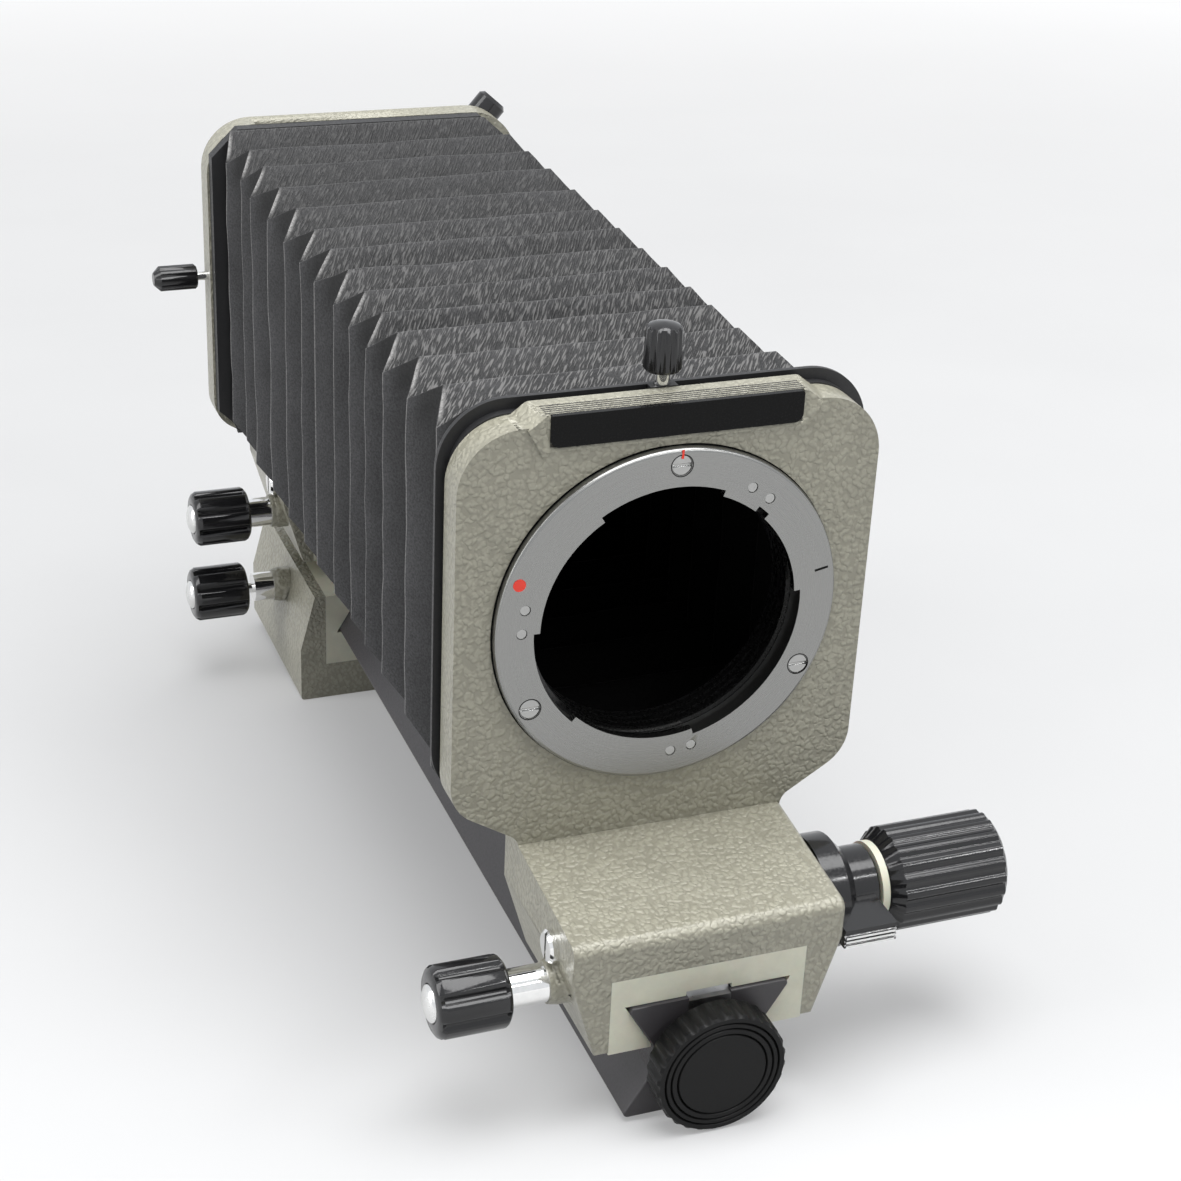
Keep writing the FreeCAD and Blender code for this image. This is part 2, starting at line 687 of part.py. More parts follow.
def make_baffle():
    """Stepped black sleeve behind the ring that stops stray light in the throat."""
    y0 = front_face_y + ring_spigot_depth + 0.1
    length = frame_back_y - y0
    step = length / baffle_steps
    profile = [(0, ring_spigot - 0.1)]
    for i in range(baffle_steps):
        inner = ring_bore - baffle_wall
        profile += [(i * step, inner), (i * step + step * 0.35, inner), (i * step + step * 0.35, inner + 0.9),
                    ((i + 1) * step, inner + 0.9)]
    profile += [(length, ring_spigot - 0.1)]
    save("light_baffle", turned(profile, Vector(0, y0, axis_z), Vector(0, 1, 0)))


# ---------------------------------------------------------------- bellows
def window(y0, y1):
    solid = box(-frame_window_x, frame_window_x, y0, y1, axis_z - frame_window_z, axis_z + frame_window_z)
    places = mirror_pair(frame_window_x, axis_z + frame_window_z)
    places += mirror_pair(frame_window_x, axis_z - frame_window_z)
    return round_lines_y(solid, places, frame_window_corner)


def rounded_box(half_width, y0, y1, low, top, corner):
    solid = box(-half_width, half_width, y0, y1, low, top)
    return round_lines_y(solid, mirror_pair(half_width, top) + mirror_pair(half_width, low), corner)


def make_frames():
    y0, y1 = front_back_y, frame_back_y
    top, low = axis_z + frame_top, axis_z - frame_bottom
    rim_y, inset = y1 - frame_rim, frame_neck_inset
    rim = rounded_box(frame_half_width, rim_y, y1, low, top, frame_corner)
    back = [e for e in rim.Edges if e.BoundBox.YMin > y1 - 0.01]
    rim = rim.makeFillet(frame_rim_round, back)
    neck = rounded_box(frame_half_width - inset, y0, rim_y, low + inset, top - inset, frame_corner - inset)
    lug = box(-frame_lug_half_width, frame_lug_half_width, y0, rim_y, top - inset - 1, top)
    solid = fuse(rim, neck, lug).cut(window(y0 - 1, y1 + 1))
    mid_y = (y0 + y1) / 2.0
    solid = solid.cut(rod_z(top - frame_screw_depth, top + 1, frame_screw_radius + shaft_clearance, 0, mid_y))
    save("front_bellows_frame", solid)

    y0, y1 = rear_frame_y, rear_face_y
    half_h = rear_frame_half_height
    corner = rear_frame_corner
    outline = []
    for sx, sz in ((1, 1), (-1, 1), (-1, -1), (1, -1)):
        pair = [(sx * rear_frame_half_width, axis_z + sz * (half_h - corner)),
                (sx * (rear_frame_half_width - corner), axis_z + sz * half_h)]
        outline += pair if sx * sz > 0 else pair[::-1]
    save("rear_bellows_frame", prism_y(outline, y0, y1).cut(window(y0 - 1, y1 + 1)))


def pleated_solid(stations):
    """Closed solid through rectangles (y, half width, half height), folds interlocked at the corners."""
    rings = []
    x = bellows_middle_x
    for y, w, h in stations:
        rings.append([Vector(x + w, y, axis_z + h), Vector(x - w, y, axis_z + h),
                      Vector(x - w, y, axis_z - h), Vector(x + w, y, axis_z - h)])
    faces = [Part.Face(Part.makePolygon(ring + ring[:1])) for ring in (rings[0], rings[-1])]
    for near, far in zip(rings, rings[1:]):
        for i in range(4):
            j = (i + 1) % 4
            faces.append(Part.Face(Part.makePolygon([near[i], near[j], far[j], far[i], near[i]])))
    solid = Part.Solid(Part.Shell(faces))
    solid.fix(0.01, 0.01, 0.01)
    return solid


def make_bellows(node, y0, y1, side_first):
    """One half of the bellows, an open sleeve from its frame to the middle."""
    count = pleats
    step = (y1 - y0) / count
    outer, inner = [], []
    for i in range(count + 1):
        side_out = (i % 2 == 0) == side_first
        w, h = (side_ridge, top_valley) if side_out else (side_valley, top_ridge)
        outer.append((y0 + i * step, w, h))
        inner.append((y0 + i * step, w - bellows_wall, h - bellows_wall))
    first, last = inner[0], inner[-1]
    inner = [(first[0] - 1.0, first[1], first[2])] + inner + [(last[0] + 1.0, last[1], last[2])]
    save(node, pleated_solid(outer).cut(pleated_solid(inner)))


# ---------------------------------------------------------------- camera side pieces
def make_camera_mount():
    y0 = rear_plate_back_y + face_gap
    mid_y = (rear_face_y + rear_plate_back_y) / 2.0
    depth = y0 - mid_y
    spigot = camera_bore - shaft_clearance
    half = ring_groove_depth * 1.2
    inner = bayonet_tube_inner + mount_ring_step
    centre, back = Vector(0, y0, axis_z), Vector(0, 1, 0)
    sleeve = turned([(rear_face_y - y0, inner), (rear_face_y - y0, spigot), (-depth - half, spigot),
                     (-depth, spigot - ring_groove_depth), (-depth + half, spigot),
                     (0, spigot), (0, inner)], centre, back)
    save("rotating_mount_sleeve", sleeve)
    thick, edge = camera_flange_thickness, camera_flange_chamfer
    body = turned([(0, inner), (0, camera_flange_radius), (thick - edge, camera_flange_radius),
                   (thick, camera_flange_radius - edge), (thick, inner)], centre, back)
    seat_y = y0 + camera_flange_thickness
    house_y = y0 + release_button_radius + 0.2
    house_start = bayonet_seat_radius + 0.3
    x, z = on_circle(house_start, release_angle)
    out = Vector(math.cos(math.radians(release_angle)), 0, math.sin(math.radians(release_angle)))
    house = Part.makeCylinder(release_button_radius, release_house_outer - house_start,
                              Vector(x, house_y, z), out)
    reach = release_house_outer + release_button_radius
    plate_side = box(-reach, reach, y0 - reach, y0, axis_z - reach, axis_z + reach)
    body = body.fuse(house.cut(plate_side))
    stem_start = camera_flange_radius - release_stem_depth
    stem_x, stem_z = on_circle(stem_start, release_angle)
    stem_hole = Part.makeCylinder(release_stem_radius + shaft_clearance, reach - stem_start,
                                  Vector(stem_x, house_y, stem_z), out)
    save("rotating_mount_ring", body.cut(stem_hole))

    button_start = release_house_outer + release_travel + face_gap
    bx, bz = on_circle(button_start, release_angle)
    length = release_button_length
    button = turned([(0, 0), (0, release_button_radius - 0.4), (0.4, release_button_radius),
                     (length - 0.8, release_button_radius), (length, release_button_radius - 0.8),
                     (length, 0)], Vector(bx, house_y, bz), out)
    stem_start += release_travel + face_gap
    sx, sz = on_circle(stem_start, release_angle)
    stem = Part.makeCylinder(release_stem_radius, button_start - stem_start, Vector(sx, house_y, sz), out)
    save("camera_release_button", fuse(button, stem))

    end = bayonet_seat_thickness + bayonet_tube_length
    bayonet = turned([(0, bayonet_tube_inner), (0, bayonet_seat_radius - 0.4),
                      (bayonet_seat_thickness - 0.4, bayonet_seat_radius),
                      (bayonet_seat_thickness, bayonet_seat_radius - 0.4),
                      (bayonet_seat_thickness, bayonet_tube_radius),
                      (end, bayonet_tube_radius), (end, bayonet_tube_inner)],
                     Vector(0, seat_y, axis_z), Vector(0, 1, 0))
    lug_y1 = seat_y + end
    lugs = [sector_y(lug_y1 - bayonet_lug_thickness, lug_y1, bayonet_tube_radius - 0.5,
                     bayonet_lug_radius, a0, a1) for a0, a1 in bayonet_lug_spans]
    bayonet = fuse(bayonet, *lugs)
    screws = []
    head_y, top_y = seat_y + 0.6, seat_y + bayonet_seat_thickness
    for angle in mount_screw_angles:
        x, z = on_circle((bayonet_seat_radius + bayonet_tube_radius) / 2.0, angle)
        bayonet = cut(bayonet, rod_y(seat_y - 1, top_y + 1, mount_screw_shank, x, z),
                      rod_y(head_y, top_y + 1, mount_screw_head, x, z))
        screws.append(fuse(rod_y(head_y, top_y - 0.1, mount_screw_head, x, z),
                           rod_y(seat_y, head_y, mount_screw_shank, x, z)))
    save("camera_bayonet", bayonet)
    save("camera_mount_screws", Part.makeCompound(screws))


# ---------------------------------------------------------------- knobs and screws
def fluted(body, start, direction, length, radius, flutes, flute_radius, depth):
    """Cut round flutes along a turned knob."""
    turn = FreeCAD.Rotation(Vector(0, 0, 1), direction)
    tools = []
    for i in range(flutes):
        a = 2.0 * math.pi * (i + 0.5) / flutes
        r = radius + flute_radius - depth
        spot = turn.multVec(Vector(r * math.cos(a), r * math.sin(a), -1.0))
        tools.append(Part.makeCylinder(flute_radius, length + 2.0, start.add(spot), direction))
    return body.cut(Part.makeCompound(tools))


def make_lock(prefix, side, y, z, stem_length, neck_length, neck_radius):
    """Lock screw: brass shoe, steel screw with thick stem, lobed knob and domed metal cap."""
    out = Vector(-1, 0, 0)
    boss_end = side + lock_boss_length
    knob_start = boss_end + stem_length
    knob_end = knob_start + lock_knob_length
    shoe_end = insert_half_width + shoe_thickness
    radius = lock_screw_radius
    tip = shoe_end + face_gap
    neck_start = knob_start - neck_length
    inside = knob_end - lock_cap_depth
    screw = turned([(tip, 0), (tip, radius), (side - 2.2, radius), (side - 2.2, lock_stem_radius),
                    (neck_start, lock_stem_radius), (neck_start, neck_radius), (knob_start, neck_radius),
                    (knob_start, radius), (inside, radius), (inside, 0)], Vector(0, y, z), out)
    save(prefix + "_lock_screw", screw)
    save(prefix + "_lock_shoe", rod_x(-shoe_end, -insert_half_width, radius - shaft_clearance, y, z))
    rim = lock_knob_radius
    knob = turned([(knob_start, radius), (knob_start, rim - 1.0), (knob_start + 1.0, rim),
                   (knob_end - 1.2, rim), (knob_end, rim - 1.2), (knob_end, lock_cap_radius),
                   (inside, lock_cap_radius), (inside, radius)], Vector(0, y, z), out)
    knob = fluted(knob, Vector(-knob_start, y, z), out, lock_knob_length, rim,
                  lock_knob_flutes, lock_flute_radius, lock_flute_depth)
    save(prefix + "_lock_knob", knob)
    cap_end = knob_end + lock_cap_proud
    cap = turned([(inside, 0), (inside, lock_cap_radius), (knob_end + 0.3 * lock_cap_proud, lock_cap_radius),
                  (knob_end + 0.7 * lock_cap_proud, 0.8 * lock_cap_radius),
                  (knob_end + 0.92 * lock_cap_proud, 0.5 * lock_cap_radius), (cap_end, 0)],
                 Vector(0, y, z), out)
    save(prefix + "_lock_cap", cap)


def make_side_screw(node, y):
    """Slotted screw above the lock screw that holds the nylon guide in its foot."""
    z, side, end = side_screw_z, foot_half_width, foot_half_width + side_screw_proud
    inside = insert_half_width + 0.5
    head = turned([(inside, 0), (inside, side_screw_shank), (side, side_screw_shank),
                   (side, side_screw_radius), (end - 0.5, side_screw_radius), (end, side_screw_radius - 0.5),
                   (end, 0)], Vector(0, y, z), Vector(-1, 0, 0))
    half = side_screw_slot / 2.0
    save(node, head.cut(box(-end - 1, -end + 0.6, y - half, y + half, z - 4, z + 4)))


def pinion_points(phase):
    """Outline of the pinion, (y, z) about its axis, one tooth turned to the given angle."""
    base = pinion_radius * math.cos(math.radians(20.0))

    def involute(radius):
        if radius <= base:
            return 0.0
        t = math.sqrt(radius * radius / (base * base) - 1.0)
        return t - math.atan(t)

    half = math.pi / (2.0 * pinion_teeth) - rack_backlash / (2.0 * pinion_radius)
    radii = [pinion_root, base, (base + pinion_tip) / 2.0, pinion_tip]
    flank = [(r, half + involute(pinion_radius) - involute(r)) for r in radii]
    points = []
    for i in range(pinion_teeth):
        centre = phase + 2.0 * math.pi * i / pinion_teeth
        for r, a in flank:
            points.append((r * math.cos(centre - a), r * math.sin(centre - a)))
        for r, a in reversed(flank):
            points.append((r * math.cos(centre + a), r * math.sin(centre + a)))
    return points


def mesh_phase(y, side):
    """Angle of a tooth that points into a gap of the rack; side is -1 for a rack below."""
    offset = (y - rail_y0) / tooth_pitch - 0.5
    gap_y = (round(offset) - offset) * tooth_pitch
    return side * math.pi / 2.0 - side * gap_y / pinion_radius


def make_drive(prefix, y, z, side):
    """Pinion shaft with its bearing, nylon washer and ribbed knob."""
    wall = foot_half_width
    bearing_end = wall + bearing_reach
    washer_start = bearing_end + face_gap
    knob_start = washer_start + washer_thickness
    knob_end = knob_start + drive_knob_length
    bore = shaft_radius + shaft_clearance
    bearing = turned([(wall - bearing_seat, bore), (wall - bearing_seat, bearing_radius),
                      (bearing_end - 0.4, bearing_radius), (bearing_end, bearing_radius - 0.4),
                      (bearing_end, bore)], Vector(0, y, z), Vector(1, 0, 0))
    save(prefix + "_drive_bearing", bearing)
    teeth = [(y + py, z + pz) for py, pz in pinion_points(mesh_phase(y, side))]
    gear = prism_x(teeth, -rack_half_width, rack_half_width)
    journal = rod_x(-rack_half_width - journal_length, -rack_half_width, journal_radius, y, z)
    shaft = rod_x(rack_half_width, knob_end - 3.0, shaft_radius, y, z)
    save(prefix + "_drive_pinion", fuse(gear, journal, shaft))
    save(prefix + "_drive_washer", cut(rod_x(washer_start, knob_start, washer_radius, y, z),
                                       rod_x(washer_start - 1, knob_start + 1, shaft_radius, y, z)))
    rim = drive_knob_radius
    knob = turned([(knob_start, shaft_radius), (knob_start, rim - 1.6), (knob_start + knob_shoulder, rim),
                   (knob_end - 0.9, rim), (knob_end, rim - 0.9), (knob_end, 0), (knob_end - 3.0, 0),
                   (knob_end - 3.0, shaft_radius)], Vector(0, y, z), Vector(1, 0, 0))
    knob = fluted(knob, Vector(knob_start, y, z), Vector(1, 0, 0), drive_knob_length, rim,
                  drive_knob_flutes, drive_flute_radius, drive_flute_depth)
    save(prefix + "_drive_knob", knob)


def make_lever(node, y, z):
    """Ring that turns on the bearing, with a flat tab in front, ridged for the thumb."""
    x0 = foot_half_width + face_gap
    x1 = x0 + lever_ring_length
    x2 = x1 + lever_cone_length
    bore = bearing_radius + shaft_clearance
    ring = turned([(x0, bore), (x0, lever_ring_radius), (x1, lever_ring_radius),
                   (x2, lever_cone_radius), (x2, bore)], Vector(0, y, z), Vector(1, 0, 0))
    tab_x0 = foot_half_width + lever_tab_side_gap
    tab_x1 = tab_x0 + lever_tab_width
    tab_y0 = y - lever_tab_reach
    top = z + lever_tab_top
    tab = box(tab_x0, tab_x1, tab_y0, y, top - lever_tab_thickness, top)
    tab = tab.cut(rod_x(tab_x0 - 1, tab_x1 + 1, bore, y, z))
    step = (lever_tab_thickness - lever_band) / lever_ridges
    for i in range(lever_ridges):
        zc = top - lever_band - i * step
        half = lever_groove_depth
        tab = tab.cut(prism_x([(tab_y0 - 0.01, zc - half), (tab_y0 + half, zc), (tab_y0 - 0.01, zc + half)],
                              tab_x0 - 1, tab_x1 + 1))
    save(node, fuse(ring, tab))


def make_frame_screw():
    """Screw on top that clamps the bellows frame to the front standard."""
    y = (front_back_y + frame_back_y) / 2.0
    top = axis_z + frame_top
    start = top + frame_knob_lift
    end = start + frame_knob_length
    stem = fuse(rod_z(top - frame_screw_depth + 0.5, top, frame_screw_radius, 0, y),
                rod_z(top + 0.1, end - 1.0, frame_stem_radius, 0, y),
                rod_z(top, top + 0.1, frame_screw_radius, 0, y))
    save("frame_lock_stem", stem)
    length, rim = frame_knob_length, frame_knob_top_radius
    knob = turned([(0, frame_stem_radius), (0, frame_knob_radius - 0.3), (0.4, frame_knob_radius),
                   (length - 0.3, rim), (length, rim - 0.3), (length + 0.7 * frame_knob_dome, 0.5 * rim),
                   (length + frame_knob_dome, 0), (length - 1.0, 0), (length - 1.0, frame_stem_radius)],
                  Vector(0, y, start), Vector(0, 0, 1))
    knob = fluted(knob, Vector(0, y, start), Vector(0, 0, 1), frame_knob_length - 0.6, frame_knob_radius,
                  frame_knob_flutes, 0.6, 0.35)
    save("frame_lock_knob", knob)


def make_thumb_screw():
    """Small screw on the left edge of the rear plate that locks the rotating mount."""
    y = (rear_face_y + rear_plate_back_y) / 2.0
    z = axis_z + thumb_over_axis
    out = Vector(-1, 0, 0)
    start = rear_plate_half_width + thumb_stem_gap
    end = start + thumb_knob_length
    tip = camera_bore + face_gap
    stem = turned([(tip, 0), (tip, 0.4 * thumb_stem_radius), (tip + 0.7, thumb_stem_radius),
                   (end - 2.0, thumb_stem_radius), (end - 2.0, 0)], Vector(0, y, z), out)
    save("mount_lock_stem", stem)
    rim = thumb_knob_radius
    knob = turned([(start, thumb_stem_radius), (start, rim - 0.4), (start + 0.4, rim), (end - 1.6, rim),
                   (end - 0.8, 0.87 * rim), (end - 0.2, 0.5 * rim), (end, 0), (end - 2.0, 0),
                   (end - 2.0, thumb_stem_radius)], Vector(0, y, z), out)
    knob = fluted(knob, Vector(-start, y, z), out, thumb_knob_length - 1.8, rim, thumb_knob_flutes, 0.5, 0.3)
    save("mount_lock_knob", knob)


# ---------------------------------------------------------------- build
os.makedirs("parts", exist_ok=True)
front_drive_y = front_foot[0] + drive_from_foot_front
rear_drive_y = rear_foot[0] + drive_from_foot_front

make_rail()
make_rack("top_rack", rail_z1 - rack_groove_depth, rail_z1, 1)
make_rack("bottom_rack", rail_z0 + rack_groove_depth, rail_z0, -1)
make_end_disc()
make_block()
make_front_casting()
make_rear_casting()
make_insert("front_guide", front_foot, front_drive_y)
make_insert("rear_guide", rear_foot, rear_drive_y)
make_lens_ring()
make_name_plate()
make_baffle()
make_frames()
make_bellows("bellows_front_half", frame_back_y, bellows_mid_y, False)
make_bellows("bellows_rear_half", bellows_mid_y, rear_frame_y, pleats % 2 == 1)
make_camera_mount()
make_lock("front", foot_half_width, front_lock_y, lock_z, front_lock_stem, 0.0, lock_stem_radius)
make_lock("rear", foot_half_width, rear_lock_y, lock_z, rear_lock_stem, 0.0, lock_stem_radius)
make_lock("block", block_half_width, block_lock_y, block_lock_z, block_lock_stem,
          block_neck_length, block_neck_radius)
make_side_screw("front_guide_screw", front_lock_y)
make_side_screw("rear_guide_screw", rear_lock_y)
make_drive("front", front_drive_y, standard_drive_z, -1)
make_drive("rear", rear_drive_y, standard_drive_z, -1)
make_drive("block", block_drive_y, block_drive_z, 1)
make_lever("front_release_lever", front_drive_y, standard_drive_z)
make_lever("rear_release_lever", rear_drive_y, standard_drive_z)
make_frame_screw()
make_thumb_screw()
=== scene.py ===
import json
import math

import bmesh
import bpy
from mathutils import Matrix, Vector, noise

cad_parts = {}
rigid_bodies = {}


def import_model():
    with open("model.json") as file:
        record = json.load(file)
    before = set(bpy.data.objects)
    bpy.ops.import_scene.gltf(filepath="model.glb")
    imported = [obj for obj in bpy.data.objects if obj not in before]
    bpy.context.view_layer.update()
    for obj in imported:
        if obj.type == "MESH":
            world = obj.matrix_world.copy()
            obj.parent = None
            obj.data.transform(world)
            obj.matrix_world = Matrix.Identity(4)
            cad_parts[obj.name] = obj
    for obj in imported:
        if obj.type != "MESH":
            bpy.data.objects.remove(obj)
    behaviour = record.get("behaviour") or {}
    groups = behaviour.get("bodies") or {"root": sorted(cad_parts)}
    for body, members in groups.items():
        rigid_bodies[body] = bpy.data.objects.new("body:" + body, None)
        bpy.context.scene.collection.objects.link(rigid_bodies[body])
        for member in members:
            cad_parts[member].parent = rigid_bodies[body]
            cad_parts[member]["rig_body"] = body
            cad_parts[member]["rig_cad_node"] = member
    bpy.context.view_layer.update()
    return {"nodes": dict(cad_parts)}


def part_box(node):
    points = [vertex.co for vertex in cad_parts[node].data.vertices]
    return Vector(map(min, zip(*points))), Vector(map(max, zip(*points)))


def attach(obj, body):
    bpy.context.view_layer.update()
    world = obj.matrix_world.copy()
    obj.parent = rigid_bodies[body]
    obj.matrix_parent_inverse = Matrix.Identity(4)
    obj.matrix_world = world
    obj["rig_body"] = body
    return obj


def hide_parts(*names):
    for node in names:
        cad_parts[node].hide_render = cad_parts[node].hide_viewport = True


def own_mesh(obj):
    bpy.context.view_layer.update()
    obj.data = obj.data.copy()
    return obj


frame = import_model()

bl_info = {
    "name": "Macro bellows unit",
    "version": (1, 0, 0),
    "blender": (4, 5, 0),
    "location": "View3D > Sidebar > Bellows",
    "description": "Dresses the frame of a macro bellows unit: castings, bellows, knobs, rail and mounts",
    "category": "Object",
}


# ---------------------------------------------------------------- places read from the frame
def middle(node):
    """Centre of a node's box."""
    low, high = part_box(node)
    return (low + high) / 2.0


RING_LOW, RING_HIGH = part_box("lens_mount_ring")
AXIS_Z = (RING_LOW.z + RING_HIGH.z) / 2.0
RING_RADIUS = (RING_HIGH.x - RING_LOW.x) / 2.0
RING_FACE_Y = RING_LOW.y
RING_PROUD = 0.0018
PLATE_FACE_Y = RING_FACE_Y + RING_PROUD
FRAME_BACK_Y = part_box("front_bellows_frame")[1].y
REAR_FRAME_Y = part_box("rear_bellows_frame")[0].y
MIDDLE_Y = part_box("bellows_front_half")[1].y

# Limits that tell edges apart, from the middle plane and from the optical axis. Edges stay sharp
# within a bore, round a guide's recess, near the boss, on the foot's left side and at the racks.
FRONT_BORE = 0.0266
REAR_BORE = 0.0295
RING_RIM = 0.0300
GUIDE_HALF = 0.0186
GUIDE_DROP = 0.045
BOSS_HALF = 0.0272
BOSS_RISE = 0.0302
FOOT_HALF = 0.02485
FOOT_DROP = 0.042
BLOCK_LEFT = -0.0242
RACK_HALF = 0.008

# How far the rear plate and its frame are set in on the right, and from which X on.
REAR_PLATE_SHORT = 0.0052
REAR_PLATE_RIGHT = 0.0270
REAR_FRAME_SHORT = 0.0083
REAR_FRAME_RIGHT = 0.0290

# Fine grooves along the boss: the rearmost is this far behind the plate's face.
BOSS_GROOVES = 5
BOSS_GROOVE_PITCH = 0.00076
BOSS_BACK_GROOVE = 0.00365
BOSS_GROOVE_LENGTH = 0.0452

# Heads of the ring's screws: x, z and the radius of the seat.
SCREW_PLACES = ((0.0005, 0.12620, 0.00185), (0.0249, 0.08590, 0.00185), (-0.0243, 0.08460, 0.00185))

# Light ridges on the front release lever, above its lowest point and from its left end.
LEVER_RIDGES = (0.0094, 0.0103, 0.0111)
LEVER_RIDGE_MIDDLE = 0.0054

END_RINGS = (0.0010, 0.00205, 0.00325)      # cut in the end disc's face, inside its edge
# Flutes: how many, vertices in each, how many of those lie in the groove, and its depth.
PLAIN_ROUND = (1, 64, 0, 0.0)
END_FLUTES = (28, 8, 5, 0.00042)
LOCK_FLUTES = (8, 20, 9, 0.00110)
DRIVE_FLUTES = (21, 12, 8, 0.00050)
FRAME_LOCK_FLUTES = (12, 10, 6, 0.00040)
MOUNT_LOCK_FLUTES = (10, 10, 6, 0.0003)

# Folds behind the front frame and behind the middle; side and top ridges take turns.
FRONT_FOLDS = (0.0, 0.0046, 0.0134, 0.0212, 0.0283, 0.0353, 0.0409, 0.0470, 0.0508, 0.0576, 0.0621,
               0.0688, 0.0741)
REAR_FOLDS = (0.0, 0.0042, 0.0107, 0.0160, 0.0235, 0.0297, 0.0377, 0.0442, 0.0519, 0.0578, 0.0648,
              0.0704, 0.0768)
LAST_FOLD = (0.0338, 0.0245, 0.0355)    # left, right and half height at the rear frame
FLARE_REACH = 0.030         # length over which the first folds come down from the front frame
REAR_NARROWING = 0.0016     # what the right side loses towards the rear
SHORT_RIDGE = 0.0014        # left ridges that end short near the rear: by how much,
SHORT_RIDGE_Y = -0.0200     # where most, and how far from there
SHORT_RIDGE_REACH = 0.0130
BROAD_WAVE = (90.0, 0.00035)    # uneven lie of the leather: how close its waves are, and their height
FINE_WAVE = (420.0, 0.00008)
NOISE_APART = ((0.0, 0.0, 0.0), (17.3, 5.1, 8.7), (3.9, 23.6, 12.2))    # noise in X, Y and Z
FOLD_CORNER = 0.010         # reach of the wear and of the painted pocket shade beside the left corners
CREASED_LENGTH = 0.015      # top behind the front frame that is creased most, and how the creases fade
CREASE_FADE = 0.110
CREASE_REAR = 0.10          # strength of the creases at the rear, and what the front has over it
CREASE_GAIN = 0.32
UPRIGHT = 1.05              # a face is on top or below if Z leads X in its normal by this
END_EASE = 0.004            # length over which the leather comes true at each end
CUTS_ACROSS = 17            # cuts in a fold's long edges, and in its slopes
CUTS_ALONG = 3


# ---------------------------------------------------------------- settings
def colour(name, default, description):
    """Setting for a colour."""
    return bpy.props.FloatVectorProperty(name=name, description=description, default=default,
                                         subtype="COLOR", size=3, min=0.0, max=1.0)


def distance(name, default, description):
    """Setting for a length in metres."""
    return bpy.props.FloatProperty(name=name, description=description, default=default,
                                   subtype="DISTANCE", unit="LENGTH", min=0.0, precision=5)


class BELLOWS_PG_finishes(bpy.types.PropertyGroup):
    paint: colour("Paint", (0.375, 0.362, 0.288), "Lacquer on the castings")
    # Painted shade: the colour laid into the hollows between the hammered lumps.
    paint_hollow_shade: colour("Paint hollows", (0.300, 0.289, 0.228), "Lacquer between the hammered lumps")
    nylon: colour("Nylon", (0.72, 0.71, 0.58), "Cream guides and washers")
    leather: colour("Leather", (0.020, 0.020, 0.021), "Bellows leather")
    leather_worn: colour("Worn leather", (0.30, 0.295, 0.29), "Leather along rubbed folds")
    black: colour("Black", (0.012, 0.012, 0.013), "Knobs and black fittings")
    rail: colour("Rail", (0.045, 0.042, 0.045), "Anodised rail")
    silver: colour("Silver", (0.78, 0.78, 0.77), "Turned metal")
    brass: colour("Brass", (0.62, 0.50, 0.24), "Brass screws and bushes")
    red: colour("Red", (0.95, 0.045, 0.02), "Index marks")


class BELLOWS_PG_sizes(bpy.types.PropertyGroup):
    edge: distance("Cast edge", 0.0009, "Rounding of the castings' edges")
    fine_edge: distance("Fine edge", 0.0003, "Rounding of machined edges")
    fold_round: distance("Fold rounding", 0.0003, "Rounding of the bellows' folds")
    leather_thickness: distance("Leather thickness", 0.0006, "Wall of the bellows")
    left_ridge: distance("Left ridge", 0.0365, "Reach of the ridges on the left side")
    left_valley: distance("Left valley", 0.0322, "Reach of the valleys on the left side")
    right_ridge: distance("Right ridge", 0.0320, "Reach of the ridges on the right side")
    right_valley: distance("Right valley", 0.0279, "Reach of the valleys on the right side")
    top_ridge: distance("Top ridge", 0.0347, "Half height over the top ridges")
    top_valley: distance("Top valley", 0.0299, "Half height between the top ridges")
    front_flare: distance("Front flare", 0.0022, "How far the first folds rise towards the front frame")


def finishes():
    return bpy.context.scene.bellows_finishes


def sizes():
    return bpy.context.scene.bellows_sizes


# ---------------------------------------------------------------- materials
def new_material(name, base, roughness, metallic=0.0):
    """A material and its shader, with the plain values set on the shader itself."""
    made = bpy.data.materials.new(name)
    made.use_nodes = True
    shader = made.node_tree.nodes["Principled BSDF"]
    shader.inputs["Base Color"].default_value = (*base, 1.0)
    shader.inputs["Roughness"].default_value = roughness
    shader.inputs["Metallic"].default_value = metallic
    return made, made.node_tree, shader


def add_node(tree, kind, **values):
    """A shader node with its sockets and settings filled in by name."""
    made = tree.nodes.new("ShaderNode" + kind)
    for key, value in values.items():
        name = key.replace("_", " ")
        if name in made.inputs:
            made.inputs[name].default_value = value
        else:
            setattr(made, key, value)
    return made


def mapped(tree, scale=(1, 1, 1), location=(0, 0, 0)):
    """Object coordinates, scaled and moved."""
    coords = add_node(tree, "TexCoord")
    mapping = add_node(tree, "Mapping")
    mapping.inputs["Scale"].default_value = scale
    mapping.inputs["Location"].default_value = location
    tree.links.new(coords.outputs["Object"], mapping.inputs["Vector"])
    return mapping.outputs["Vector"]


def grained(tree, rotation, stretch):
    """Object coordinates turned first and then stretched, for grain that runs at an angle."""
    coords = add_node(tree, "TexCoord")
    mapping = add_node(tree, "Mapping", vector_type="TEXTURE")
    mapping.inputs["Rotation"].default_value = rotation
    mapping.inputs["Scale"].default_value = stretch
    tree.links.new(coords.outputs["Object"], mapping.inputs["Vector"])
    return mapping.outputs["Vector"]


def maths(tree, operation, first, second):
    """Result of a sum on two sockets or numbers."""
    made = add_node(tree, "Math", operation=operation)
    for socket, value in zip(made.inputs, (first, second)):
        if isinstance(value, (int, float)):
            socket.default_value = value
        else:
            tree.links.new(value, socket)
    return made.outputs[0]


